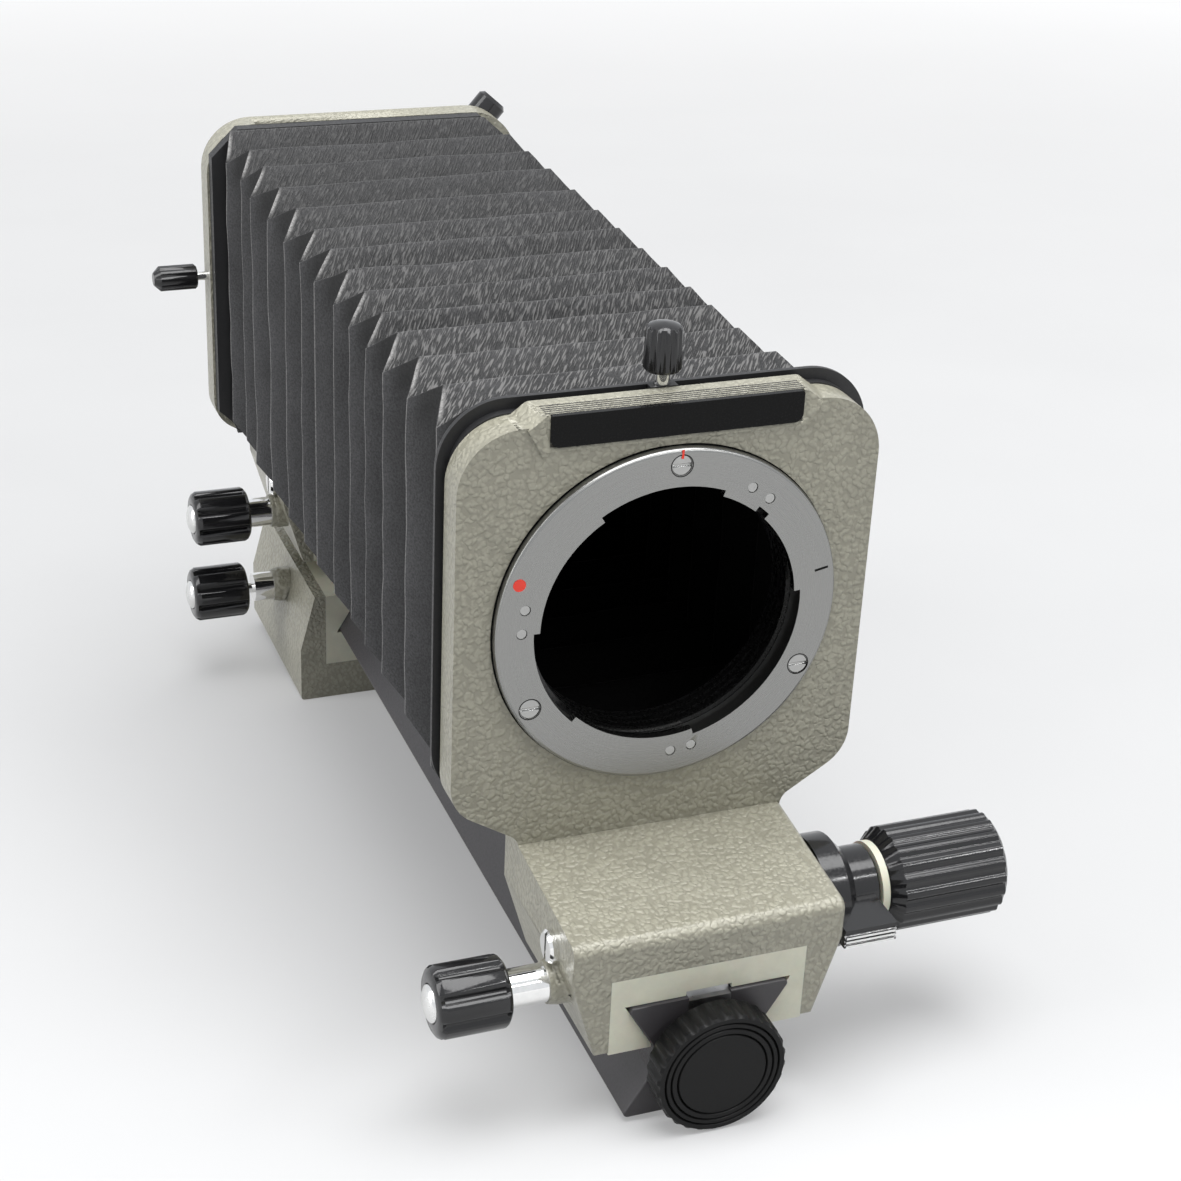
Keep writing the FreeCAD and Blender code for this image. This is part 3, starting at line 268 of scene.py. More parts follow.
def multiplied(tree, first, second):
    """One colour multiplied by another."""
    made = tree.nodes.new("ShaderNodeMix")
    made.data_type = "RGBA"
    made.blend_type = "MULTIPLY"
    made.inputs[0].default_value = 1.0
    tree.links.new(first, made.inputs[6])
    tree.links.new(second, made.inputs[7])
    return made.outputs[2]


def ramp(tree, source, stops):
    """Colours that follow a socket, from stops of (place, colour)."""
    made = add_node(tree, "ValToRGB")
    elements = made.color_ramp.elements
    while len(elements) < len(stops):
        elements.new(0.5)
    for element, (place, value) in zip(elements, stops):
        element.position = place
        element.color = (*value, 1.0)
    tree.links.new(source, made.inputs["Fac"])
    return made.outputs["Color"]


def grey(value):
    return (value, value, value)


def bump(tree, shader, height, depth, strength, under=None):
    """Relief on a shader, laid over a coarser one if that is given."""
    made = add_node(tree, "Bump", Strength=strength, Distance=depth)
    tree.links.new(height, made.inputs["Height"])
    if under is not None:
        tree.links.new(under, made.inputs["Normal"])
    tree.links.new(made.outputs["Normal"], shader.inputs["Normal"])


def mixed(tree, factor, first, second):
    """Blend of two colours; each input is a socket, a colour or a number."""
    made = tree.nodes.new("ShaderNodeMix")
    made.data_type = "RGBA"
    for socket, value in ((made.inputs[0], factor), (made.inputs[6], first), (made.inputs[7], second)):
        if isinstance(value, (tuple, list)):
            socket.default_value = (*value, 1.0)
        elif isinstance(value, (int, float)):
            socket.default_value = value
        else:
            tree.links.new(value, socket)
    return made.outputs[2]


def cloud_on(tree, scale, detail, roughness=0.5, vector=None):
    """Noise in object coordinates, or along a vector that is given."""
    made = add_node(tree, "TexNoise", Scale=scale, Detail=detail, Roughness=roughness)
    tree.links.new(mapped(tree) if vector is None else vector, made.inputs["Vector"])
    return made


def hammered_paint():
    """Stoved lacquer with small hammered lumps, with painted shade in the hollows between them."""
    f = finishes()
    made, tree, shader = new_material("hammered_paint", f.paint, 0.38, 0.1)
    drift = cloud_on(tree, 700.0, 1.0)
    shifted = add_node(tree, "VectorMath", operation="MULTIPLY_ADD")
    tree.links.new(drift.outputs["Color"], shifted.inputs[0])
    shifted.inputs[1].default_value = grey(0.0011)
    tree.links.new(mapped(tree), shifted.inputs[2])
    lumps = add_node(tree, "TexVoronoi", feature="SMOOTH_F1", Scale=1080.0, Smoothness=0.35)
    tree.links.new(shifted.outputs[0], lumps.inputs["Vector"])
    rise = ramp(tree, lumps.outputs["Distance"], [(0.15, grey(1.0)), (0.40, grey(0.75)), (0.68, grey(0.0))])
    spots = cloud_on(tree, 170.0, 2.0)
    cloud = ramp(tree, spots.outputs["Fac"], [(0.35, grey(0.93)), (0.65, grey(1.0))])
    # Painted shade: the lacquer darkens towards the hollows between the lumps, with the relief's bump.
    tone = mixed(tree, rise, tuple(f.paint_hollow_shade), tuple(f.paint))
    tree.links.new(multiplied(tree, tone, cloud), shader.inputs["Base Color"])
    bump(tree, shader, rise, 0.00014, 1.0)
    shader.inputs["Coat Weight"].default_value = 0.25
    shader.inputs["Coat Roughness"].default_value = 0.18
    return made


def leather():
    """Grained bellows leather: rubbed light along its folds and creased on top, with painted shade down in
    the folds and painted light towards their ridges.
    """
    f = finishes()
    made, tree, shader = new_material("bellows_leather", f.leather, 0.5)
    shader.inputs["Specular IOR Level"].default_value = 0.30
    folds = add_node(tree, "SeparateXYZ")
    tree.links.new(add_node(tree, "UVMap", uv_map="folds").outputs["UV"], folds.inputs[0])
    corner, share = folds.outputs["X"], folds.outputs["Y"]
    top = add_node(tree, "Attribute", attribute_name="top").outputs["Fac"]
    fine = cloud_on(tree, 2400.0, 2.0, 0.6)
    slant = grained(tree, (0.0, 0.0, math.radians(51)), (7.0, 1.0, 7.0))
    crease = cloud_on(tree, 3800.0, 0.0, 0.5, slant)
    wide = cloud_on(tree, 70.0, 3.0, 0.6)
    low, high = (tuple(c * k for c in f.leather) for k in (0.7, 1.4))
    base = ramp(tree, fine.outputs["Fac"], [(0.35, low), (0.65, high)])
    base = multiplied(tree, base, ramp(tree, wide.outputs["Fac"], [(0.35, grey(0.75)), (0.65, grey(1.2))]))
    # Painted shade on the side faces: dark in the valleys, lighter out towards the ridges.
    side_shading = ramp(tree, share, [(0.0, grey(0.25)), (0.35, grey(0.95)), (0.92, grey(1.8))])
    # Painted shade in the pocket under each top corner: the upper side faces near the corner, towards the
    # valleys.
    pocket_shade = maths(tree, "MULTIPLY", ramp(tree, corner, [(0.35, grey(1.0)), (0.80, grey(0.0))]),
                   ramp(tree, share, [(0.45, grey(0.85)), (0.85, grey(0.0))]))
    side_shading = mixed(tree, pocket_shade, side_shading, grey(0.08))
    # Painted shade and light on the top faces: dark in the valleys, light at the ridges.
    on_top = ramp(tree, share, [(0.12, grey(0.08)), (0.30, grey(0.40)), (0.80, grey(0.85)),
                                (0.97, grey(1.3))])
    base = multiplied(tree, base, mixed(tree, top, side_shading, on_top))
    strokes = ramp(tree, crease.outputs["Fac"], [(0.52, grey(0.0)), (0.66, grey(1.0))])
    creased = add_node(tree, "Attribute", attribute_name="crease").outputs["Fac"]
    strokes = maths(tree, "MULTIPLY", strokes, creased)
    ridge = ramp(tree, share, [(0.955, grey(0.0)), (0.985, grey(1.0))])
    ridge_wear = maths(tree, "SUBTRACT", 0.62, maths(tree, "MULTIPLY", top, 0.50))
    ridge = maths(tree, "MULTIPLY", ridge, ridge_wear)
    slope = ramp(tree, share, [(0.02, grey(0.0)), (0.35, grey(1.0)), (0.75, grey(0.9)), (0.98, grey(0.1))])
    facet = maths(tree, "MULTIPLY", ramp(tree, corner, [(0.05, grey(1.0)), (0.11, grey(0.0))]), slope)
    facet = maths(tree, "MULTIPLY", facet, top)
    ragged = ramp(tree, fine.outputs["Fac"], [(0.35, grey(0.5)), (0.55, grey(1.0))])
    rubbed = maths(tree, "MULTIPLY", maths(tree, "MAXIMUM", ridge, facet), ragged)
    worn = maths(tree, "MAXIMUM", rubbed, strokes)
    tree.links.new(mixed(tree, worn, base, tuple(f.leather_worn)), shader.inputs["Base Color"])
    sheen = ramp(tree, fine.outputs["Fac"], [(0.35, grey(0.62)), (0.65, grey(0.46))])
    tree.links.new(sheen, shader.inputs["Roughness"])
    under = add_node(tree, "Bump", Strength=0.5, Distance=0.0004)
    tree.links.new(maths(tree, "MULTIPLY", crease.outputs["Fac"], top), under.inputs["Height"])
    bump(tree, shader, fine.outputs["Fac"], 0.00005, 0.5, under.outputs["Normal"])
    return made


def black_finish(name, roughness, depth=0.00001, scale=2600.0, base=None, gloss=0.5):
    """Black moulded or anodised surface with a fine tooth."""
    made, tree, shader = new_material(name, base or finishes().black, roughness)
    shader.inputs["Specular IOR Level"].default_value = gloss
    fine = cloud_on(tree, scale, 3.0, 0.6)
    smoother, rougher = max(roughness - 0.08, 0.05), roughness + 0.10
    tooth = ramp(tree, fine.outputs["Fac"], [(0.35, grey(smoother)), (0.65, grey(rougher))])
    tree.links.new(tooth, shader.inputs["Roughness"])
    bump(tree, shader, fine.outputs["Fac"], depth, 0.5)
    return made


def turned_metal(name, base, roughness, axis, centre):
    """Metal with the fine rings a lathe leaves, about an axis through a point."""
    made, tree, shader = new_material(name, base, roughness, 1.0)
    flat = tuple(0.0 if c == axis else 1.0 for c in "XYZ")
    place = mapped(tree, scale=flat, location=tuple(-c * s for c, s in zip(centre, flat)))
    reach = add_node(tree, "VectorMath", operation="LENGTH")
    tree.links.new(place, reach.inputs[0])
    rings = add_node(tree, "TexNoise", noise_dimensions="1D", Scale=5200.0, Detail=2.0, Roughness=0.7)
    tree.links.new(reach.outputs["Value"], rings.inputs["W"])
    turned = ramp(tree, rings.outputs["Fac"], [(0.3, grey(roughness * 0.8)), (0.7, grey(roughness * 1.35))])
    tree.links.new(turned, shader.inputs["Roughness"])
    bump(tree, shader, rings.outputs["Fac"], 0.000004, 0.5)
    return made


def plain_metal(name, base, roughness):
    """Plated metal with faint cloudy wear."""
    made, tree, shader = new_material(name, base, roughness, 1.0)
    cloud = cloud_on(tree, 380.0, 4.0, 0.6)
    dull = ramp(tree, cloud.outputs["Fac"], [(0.35, grey(roughness * 0.8)), (0.65, grey(roughness * 1.3))])
    tree.links.new(dull, shader.inputs["Roughness"])
    tone = ramp(tree, cloud.outputs["Fac"], [(0.3, tuple(c * 0.9 for c in base)), (0.7, tuple(base))])
    tree.links.new(tone, shader.inputs["Base Color"])
    bump(tree, shader, cloud.outputs["Fac"], 0.000006, 0.4)
    return made


def nylon():
    """Cream nylon, slightly waxy, with dirt in its pores."""
    f = finishes()
    made, tree, shader = new_material("cream_nylon", f.nylon, 0.42)
    cloud = cloud_on(tree, 260.0, 4.0, 0.65)
    dirty = tuple(c * 0.90 for c in f.nylon)
    tone = ramp(tree, cloud.outputs["Fac"], [(0.3, dirty), (0.7, tuple(f.nylon))])
    tree.links.new(tone, shader.inputs["Base Color"])
    shader.inputs["Subsurface Weight"].default_value = 0.15
    shader.inputs["Subsurface Scale"].default_value = 0.001
    bump(tree, shader, cloud.outputs["Fac"], 0.00002, 0.4)
    return made


def enamel():
    """Glossy red filling of the index marks."""
    made, tree, shader = new_material("red_enamel", finishes().red, 0.25)
    cloud = cloud_on(tree, 900.0, 2.0)
    bump(tree, shader, cloud.outputs["Fac"], 0.00001, 0.5)
    return made


MATERIALS = {}


def finish(name):
    """The material of that name, made the first time it is asked for."""
    f = finishes()
    makers = {
        "paint": hammered_paint,
        "leather": leather,
        "nylon": nylon,
        "enamel": enamel,
        "knob": lambda: black_finish("knob_black", 0.12, 0.000004),
        "plate_black": lambda: black_finish("plate_black", 0.22, 0.000004, 2600.0, grey(0.005), 0.12),
        "disc_black": lambda: black_finish("disc_black", 0.40, 0.00001, 2200.0, grey(0.005), 0.18),
        "matt_black": lambda: black_finish("matt_black", 0.48, 0.00002, 1800.0),
        "gloss_black": lambda: black_finish("gloss_black", 0.12),
        "throat_black": lambda: black_finish("throat_black", 0.8, 0.00002, 1800.0, grey(0.002), 0.1),
        "baffle_black": lambda: black_finish("baffle_black", 0.30, 0.00001, 1800.0, grey(0.003), 0.5),
        "rail": lambda: black_finish("rail_anodised", 0.42, 0.00001, 2200.0, f.rail),
        "ring": lambda: turned_metal("ring_chrome", (0.27, 0.27, 0.262), 0.27, "Y", (0, 0, AXIS_Z)),
        "silver": lambda: plain_metal("satin_silver", f.silver, 0.22),
        "screw": lambda: plain_metal("ring_screw", (0.40, 0.40, 0.39), 0.20),
        "bright": lambda: plain_metal("bright_plate", (0.85, 0.85, 0.84), 0.08),
        "steel": lambda: plain_metal("tool_steel", (0.42, 0.42, 0.42), 0.34),
        "brass": lambda: plain_metal("turned_brass", f.brass, 0.28),
    }
    if name not in MATERIALS:
        MATERIALS[name] = makers[name]()
    return MATERIALS[name]


# ---------------------------------------------------------------- modelling helpers
AXES = {"X": Vector((1, 0, 0)), "Y": Vector((0, 1, 0)), "Z": Vector((0, 0, 1))}
TURNS = {"X": (0.0, math.pi / 2, 0.0), "Y": (-math.pi / 2, 0.0, 0.0), "Z": (0.0, 0.0, 0.0)}
MERGE = 0.00001             # vertices nearer than this become one
SMALLEST = 0.00002          # least radius that a section is scaled to


def deselect():
    """Leave edit mode, with nothing selected."""
    if bpy.context.mode != "OBJECT":
        bpy.ops.object.mode_set(mode="OBJECT")
    bpy.ops.object.select_all(action="DESELECT")


def activate(obj):
    """Select one object alone."""
    deselect()
    obj.select_set(True)
    bpy.context.view_layer.objects.active = obj


def edit(obj, kind="FACE"):
    """Open an object in edit mode, with none of its mesh selected."""
    activate(obj)
    bpy.ops.object.mode_set(mode="EDIT")
    bpy.ops.mesh.select_mode(type=kind)
    bpy.ops.mesh.select_all(action="DESELECT")


def pick(obj, kind, test):
    """Select the faces, edges or verts of the mesh in edit mode that pass a test."""
    shape = bmesh.from_edit_mesh(obj.data)
    shape.normal_update()
    count = 0
    for item in getattr(shape, kind):
        chosen = bool(test(item))
        item.select_set(chosen)
        count += chosen
    shape.select_flush_mode()
    bmesh.update_edit_mesh(obj.data)
    return count


def apply_modifier(obj, kind, **values):
    """Add a modifier with its settings and apply it."""
    activate(obj)
    made = obj.modifiers.new(kind.title(), kind)
    for key, value in values.items():
        setattr(made, key, value)
    bpy.ops.object.modifier_apply(modifier=made.name)


def smooth(obj, angle):
    """Smooth shading, but for edges sharper than an angle in degrees."""
    activate(obj)
    bpy.ops.object.shade_smooth_by_angle(angle=math.radians(angle))


def complete(obj, name, material, body, replaced=()):
    """Put the piece's place into its mesh, name and finish it, and let it ride on its body."""
    activate(obj)
    bpy.ops.object.transform_apply(location=True, rotation=True, scale=True)
    obj.name = name
    obj.data.name = name
    obj.data.materials.clear()
    obj.data.materials.append(finish(material))
    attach(obj, body)
    if replaced:
        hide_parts(*replaced)


def copied(node):
    """A free copy of a node's solid with its triangles merged into plain faces."""
    activate(frame["nodes"][node])
    bpy.ops.object.duplicate()
    made = bpy.context.active_object
    bpy.ops.object.parent_clear(type="CLEAR_KEEP_TRANSFORM")
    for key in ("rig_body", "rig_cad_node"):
        if key in made:
            del made[key]
    bpy.ops.object.mode_set(mode="EDIT")
    bpy.ops.mesh.select_mode(type="VERT")
    bpy.ops.mesh.select_all(action="SELECT")
    bpy.ops.mesh.remove_doubles(threshold=MERGE)
    bpy.ops.mesh.dissolve_limited(angle_limit=math.radians(1.0))
    bpy.ops.object.mode_set(mode="OBJECT")
    return made


def sharp(edge):
    return len(edge.link_faces) == 2 and edge.calc_face_angle(0.0) > math.radians(28.0)


def soften(obj, width, test, segments, clamp=True):
    """Bevel the sharp edges that pass a test."""
    edit(obj, "EDGE")
    if pick(obj, "edges", lambda e: sharp(e) and test(e)):
        bpy.ops.mesh.bevel(offset=width, segments=segments, affect="EDGES", clamp_overlap=clamp)
    bpy.ops.object.mode_set(mode="OBJECT")


def dressed(node, material, body, width=0.0, test=None, segments=2, angle=38.0, right_side=None,
            inset=0.0, first=None):
    """A softened copy of a node that stands for it.

    Where right_side names its vertices, they move in first. Edges that pass first get their full
    width, the others as much as their neighbours leave.
    """
    made = copied(node)
    if right_side:
        edit(made, "VERT")
        pick(made, "verts", right_side)
        bpy.ops.transform.translate(value=(-inset, 0.0, 0.0))
        bpy.ops.object.mode_set(mode="OBJECT")
    if first:
        soften(made, width, first, segments, False)
    if width:
        soften(made, width, test or (lambda e: e.calc_length() > width * 3), segments)
    smooth(made, angle)
    apply_modifier(made, "WEIGHTED_NORMAL", keep_sharp=True)
    complete(made, node + "_dress", material, body, [node])


def off_axis(vertex):
    """Distance of a vertex from the optical axis."""
    return math.hypot(vertex.co.x, vertex.co.z - AXIS_Z)


def start_circle(axis, centre, radius, vertices, fill):
    """Add a circle square to an axis, and select all of it in edit mode."""
    deselect()
    bpy.ops.mesh.primitive_circle_add(vertices=vertices, radius=radius, fill_type=fill,
                                      location=centre, rotation=TURNS[axis])
    made = bpy.context.active_object
    bpy.ops.object.transform_apply(location=True, rotation=True, scale=True)
    bpy.ops.object.mode_set(mode="EDIT")
    bpy.ops.mesh.select_mode(type="VERT")
    bpy.ops.mesh.select_all(action="SELECT")
    return made


def widen(axis, factor, centre):
    """Scale the selection square to an axis, about a point."""
    scale = tuple(1.0 if axis == c else factor for c in "XYZ")
    bpy.ops.transform.resize(value=scale, center_override=centre)


def column(axis, sign, origin, sections, flutes=PLAIN_ROUND):
    """Turn a piece from a circle: extrude it along the axis and scale it at each section.

    A section is (along, radius, fluted). flutes is (how many, vertices in each, in its groove, depth).
    """
    vertices = flutes[0] * flutes[1]
    along, radius, fluted = sections[0]
    step = AXES[axis] * sign
    origin = Vector(origin)
    made = start_circle(axis, origin + step * along, radius, vertices, "NGON")
    if fluted:
        groove_ring(made, flutes, radius, origin, axis)
    for (a0, r0, f0), (a1, r1, f1) in zip(sections, sections[1:]):
        if f0 and not f1:
            groove_ring(made, flutes, r0, origin, axis, step * (a1 - a0))
        else:
            bpy.ops.mesh.extrude_region_move(TRANSFORM_OT_translate={"value": step * (a1 - a0)})
        widen(axis, max(r1, SMALLEST) / max(r0, SMALLEST), origin + step * a1)
        if f1 and not f0:
            groove_ring(made, flutes, r1, origin, axis)
    bpy.ops.mesh.select_all(action="SELECT")
    bpy.ops.mesh.normals_make_consistent(inside=False)
    bpy.ops.object.mode_set(mode="OBJECT")
    return made


def groove_ring(obj, flutes, radius, origin, axis, shift=None):
    """Pull the groove vertices of the selected ring inwards.

    Where a shift is given, the ring is extruded by it, and they are pushed back out.
    """
    _, group, wide, depth = flutes
    if shift is not None:
        bpy.ops.mesh.extrude_region_move(TRANSFORM_OT_translate={"value": shift})
    shape = bmesh.from_edit_mesh(obj.data)
    ring = [v for v in shape.verts if v.select]
    total = len(ring)
    others = [i for i, c in enumerate("XYZ") if c != axis]

    def index(v):
        rel = v.co - origin
        angle = math.atan2(rel[others[1]], rel[others[0]]) % (2 * math.pi)
        return round(angle / (2 * math.pi) * total) % total

    for v in ring:
        place = index(v) % group
        if place < wide:
            share = math.sin(math.pi * (place + 0.5) / wide)
            rel = v.co - origin
            reach = math.hypot(rel[others[0]], rel[others[1]])
            target = radius - depth * share if shift is None else radius
            for i in others:
                v.co[i] = origin[i] + rel[i] * target / reach
    bmesh.update_edit_mesh(obj.data)


def ring_piece(axis, sign, origin, profile, vertices):
    """Turn a hollow piece: a circle extruded round a closed profile of (along, radius)."""
    step = AXES[axis] * sign
    origin = Vector(origin)
    along, radius = profile[0]
    made = start_circle(axis, origin + step * along, radius, vertices, "NOTHING")
    loop = list(profile) + [profile[0]]
    for (a0, r0), (a1, r1) in zip(loop, loop[1:]):
        bpy.ops.mesh.extrude_region_move(TRANSFORM_OT_translate={"value": step * (a1 - a0)})
        widen(axis, r1 / r0, origin + step * a1)
    bpy.ops.mesh.select_all(action="SELECT")
    bpy.ops.mesh.remove_doubles(threshold=MERGE)
    bpy.ops.mesh.normals_make_consistent(inside=False)
    bpy.ops.object.mode_set(mode="OBJECT")
    return made


# ---------------------------------------------------------------- pieces
class BELLOWS_OT_castings(bpy.types.Operator):
    """Add the two lacquered standards and the tripod block with softened edges"""
    bl_idname = "bellows.castings"
    bl_label = "Castings"

    def execute(self, context):
        edge = sizes().edge

        def outer(e):
            mid = (e.verts[0].co + e.verts[1].co) / 2.0
            reach = math.hypot(mid.x, mid.z - AXIS_Z)
            inside_guide = abs(mid.x) < GUIDE_HALF and mid.z < AXIS_Z - GUIDE_DROP
            near_boss = abs(mid.x) < BOSS_HALF and mid.z > AXIS_Z + BOSS_RISE
            on_foot_side = mid.x < -FOOT_HALF + 0.0001 and mid.z < AXIS_Z - FOOT_DROP
            return reach > FRONT_BORE and not inside_guide and not near_boss and not on_foot_side

        def foot_edge(e):
            ends = [v.co.y for v in e.verts]
            return outer(e) and max(ends) < PLATE_FACE_Y + 0.0006 and min(ends) < PLATE_FACE_Y - 0.002

        def block_edge(e):
            mid = (e.verts[0].co + e.verts[1].co) / 2.0
            return abs(mid.x) > GUIDE_HALF and mid.x > BLOCK_LEFT and e.calc_length() > 0.003

        dressed("front_standard", "paint", "front_standard", edge,
                lambda e: outer(e) and not foot_edge(e), 3, 50.0, first=foot_edge)
        dressed("rear_standard", "paint", "rear_standard", edge,
                lambda e: outer(e) and off_axis(e.verts[0]) > REAR_BORE, 3, 50.0,
                lambda v: v.co.x > REAR_PLATE_RIGHT and off_axis(v) > REAR_BORE, REAR_PLATE_SHORT)
        dressed("rear_bellows_frame", "matt_black", "rear_standard", sizes().fine_edge, None, 2, 38.0,
                lambda v: v.co.x > REAR_FRAME_RIGHT, REAR_FRAME_SHORT)
        dressed("tripod_block", "paint", "tripod_block", edge, block_edge, 3, 50.0)
        return {"FINISHED"}


class BELLOWS_OT_rail(bpy.types.Operator):
    """Add the rail with its edges softened, and the knob at its end"""
    bl_idname = "bellows.rail"
    bl_label = "Rail"

    def execute(self, context):
        dressed("rail", "rail", "rail", sizes().fine_edge, lambda e: abs(e.verts[0].co.x) > RACK_HALF, 2)
        end_knob()
        return {"FINISHED"}


def end_knob():
    """Thin disc with a scalloped rim and three rings cut in its face."""
    low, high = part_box("rail_end_knob")
    centre = middle("rail_end_knob")
    radius = (high.z - low.z) / 2.0
    face = high.y - low.y
    hub = 0.0014
    edge = radius - 0.00045
    rings = []
    for inset in END_RINGS:
        rings += [(face, edge - inset + 0.00022, False), (face - 0.0004, edge - inset, False),
                  (face, edge - inset - 0.00022, False)]
    made = column("Y", -1, (0, high.y, centre.z),
                  [(0, 0.0040, False), (hub, 0.0040, False), (hub, edge, False),
                   (hub + 0.00045, radius, True), (face - 0.00045, radius, True),
                   (face, edge, False)] + rings, END_FLUTES)
    smooth(made, 32)
    complete(made, "end_knob_dress", "disc_black", "rail_end", ["rail_end_knob"])


class BELLOWS_OT_lens_side(bpy.types.Operator):
    """Add the lens mount ring with its screws and marks, the name plate, painted shade in the gaps round
    the ring and its screws, and painted shade in the boss's grooves
    """
    bl_idname = "bellows.lens_side"
    bl_label = "Lens mount"

    def execute(self, context):
        dressed("lens_mount_ring", "ring", "front_standard", sizes().fine_edge,
                lambda e: off_axis(e.verts[0]) > RING_RIM, 3, 30.0)
        dressed("lens_ring_screws", "screw", "front_standard", 0.00018,
                lambda e: max(v.co.y for v in e.verts) < RING_FACE_Y + 0.0004, 3, 60.0)
        dressed("name_plate", "plate_black", "front_standard", 0.00015, None, 2, 30.0)
        # Painted shade: a thin black ring laid in the gap round the lens mount ring.
        gap = ring_piece("Y", -1, (0, PLATE_FACE_Y, AXIS_Z),
                         washer(-0.0002, 0.00004, RING_RADIUS - 0.0003, RING_RADIUS + 0.00022), 128)
        complete(gap, "lens_ring_gap", "throat_black", "front_standard")
        # Painted shade: a thin black ring laid in the gap round each screw head.
        for x, z, r in SCREW_PLACES:
            edge = ring_piece("Y", -1, (x, RING_FACE_Y, z), washer(-0.0004, 0.00002, r, r + 0.00016), 40)
            complete(edge, "ring_screw_edge", "throat_black", "front_standard")
        index_mark("lens_index_line", "enamel", 89.0, 0.0291, 0.0307)
        index_mark("lens_index_groove", "throat_black", 11.5, 0.0270, 0.0295)
        boss_grooves()
        return {"FINISHED"}


def washer(back, face, inner, outer):
    """Section of a flat ring, for ring_piece."""
    return [(back, inner), (face, inner), (face, outer), (back, outer)]


def bar(name, material, body, place, size, turn=0.0):
    """Small straight bar, turned about Y."""
    deselect()
    bpy.ops.mesh.primitive_cube_add(size=1.0, location=place, rotation=(0.0, turn, 0.0), scale=size)
    complete(bpy.context.active_object, name, material, body)


def index_mark(name, material, angle, inner, outer):
    """Short filled line on the ring's face, at an angle about the optical axis."""
    turn = math.radians(angle)
    reach = (inner + outer) / 2.0
    place = (reach * math.cos(turn), RING_FACE_Y, AXIS_Z + reach * math.sin(turn))
    bar(name, material, "front_standard", place, (outer - inner, 0.00006, 0.0004), -turn)


def boss_grooves():
    """Shade left in the fine grooves along the top of the boss."""
    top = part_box("front_standard")[1].z
    for i in range(BOSS_GROOVES):
        place = (0.0, PLATE_FACE_Y + BOSS_BACK_GROOVE - BOSS_GROOVE_PITCH * i, top - 0.00010)
        bar("boss_groove_shade", "matt_black", "front_standard", place,
            (BOSS_GROOVE_LENGTH, 0.00026, 0.00024))


class BELLOWS_OT_bellows(bpy.types.Operator):
    """Add the two halves of the pleated leather bellows"""
    bl_idname = "bellows.bellows"
    bl_label = "Bellows"

    def execute(self, context):
        front = [FRAME_BACK_Y + fold for fold in FRONT_FOLDS] + [MIDDLE_Y]
        pleated("bellows_front_leather", front, 1, "front_standard",
                "bellows_front_half", 3)
        rear = [MIDDLE_Y + fold for fold in REAR_FOLDS] + [REAR_FRAME_Y]
        pleated("bellows_rear_leather", rear, 0, "rear_standard",
                "bellows_rear_half", 11)
        return {"FINISHED"}


def fold_at(y, side_out):
    """Left reach, right reach and half height of the bellows at one fold."""
    s = sizes()
    behind = y - FRAME_BACK_Y
    flare = s.front_flare * max(0.0, 1.0 - behind / FLARE_REACH)
    narrow = REAR_NARROWING * behind / (REAR_FRAME_Y - FRAME_BACK_Y)
    short = SHORT_RIDGE * max(0.0, 1.0 - abs(y - SHORT_RIDGE_Y) / SHORT_RIDGE_REACH)
    if REAR_FRAME_Y - y < 0.001:
        return LAST_FOLD
    if side_out:
        return s.left_ridge - short, s.right_ridge - narrow, s.top_valley + flare
    return s.left_valley + 0.3 * flare, s.right_valley - narrow, s.top_ridge + flare


def uneven(place):
    """Noise in three directions at once, the same in every run."""
    return Vector([noise.noise(place + Vector(apart)) for apart in NOISE_APART])


def sleeve(folds):
    """An open rectangle extruded from fold to fold, with its faces outwards."""
    y0, left, right, high = folds[0]
    deselect()
    bpy.ops.mesh.primitive_plane_add(size=2.0, location=((right - left) / 2.0, y0, AXIS_Z),
                                     rotation=(math.pi / 2, 0, 0))
    made = bpy.context.active_object
    made.scale = ((left + right) / 2.0, high, 1.0)
    bpy.ops.object.transform_apply(location=True, rotation=True, scale=True)
    bpy.ops.object.mode_set(mode="EDIT")
    bpy.ops.mesh.select_all(action="SELECT")
    bpy.ops.mesh.delete(type="ONLY_FACE")
    bpy.ops.mesh.select_all(action="SELECT")
    for (ya, la, ra, ha), (yb, lb, rb, hb) in zip(folds, folds[1:]):
        middle_a, middle_b = (ra - la) / 2.0, (rb - lb) / 2.0
        step = (middle_b - middle_a, yb - ya, 0)
        bpy.ops.mesh.extrude_region_move(TRANSFORM_OT_translate={"value": step})
        bpy.ops.transform.resize(value=((lb + rb) / (la + ra), 1.0, hb / ha),
                                 center_override=(middle_b, yb, AXIS_Z))
    bpy.ops.mesh.select_all(action="SELECT")
    bpy.ops.mesh.normals_make_consistent(inside=False)
    bpy.ops.object.mode_set(mode="OBJECT")
    if sum(face.normal.z * (face.center.z - AXIS_Z) for face in made.data.polygons) < 0.0:
        edit(made)
        bpy.ops.mesh.select_all(action="SELECT")
        bpy.ops.mesh.flip_normals()
        bpy.ops.object.mode_set(mode="OBJECT")
    return made


def cut_finer(obj):
    """Cut the sleeve's long edges and then its slopes, so that the leather can lie unevenly."""
    edit(obj, "EDGE")
    pick(obj, "edges", lambda e: e.calc_length() > 0.02)
    bpy.ops.mesh.subdivide(number_cuts=CUTS_ACROSS)
    pick(obj, "edges", lambda e: 0.0035 < e.calc_length() < 0.02
         and abs(e.verts[0].co.y - e.verts[1].co.y) > 0.002)
    bpy.ops.mesh.subdivide(number_cuts=CUTS_ALONG)
    bpy.ops.object.mode_set(mode="OBJECT")


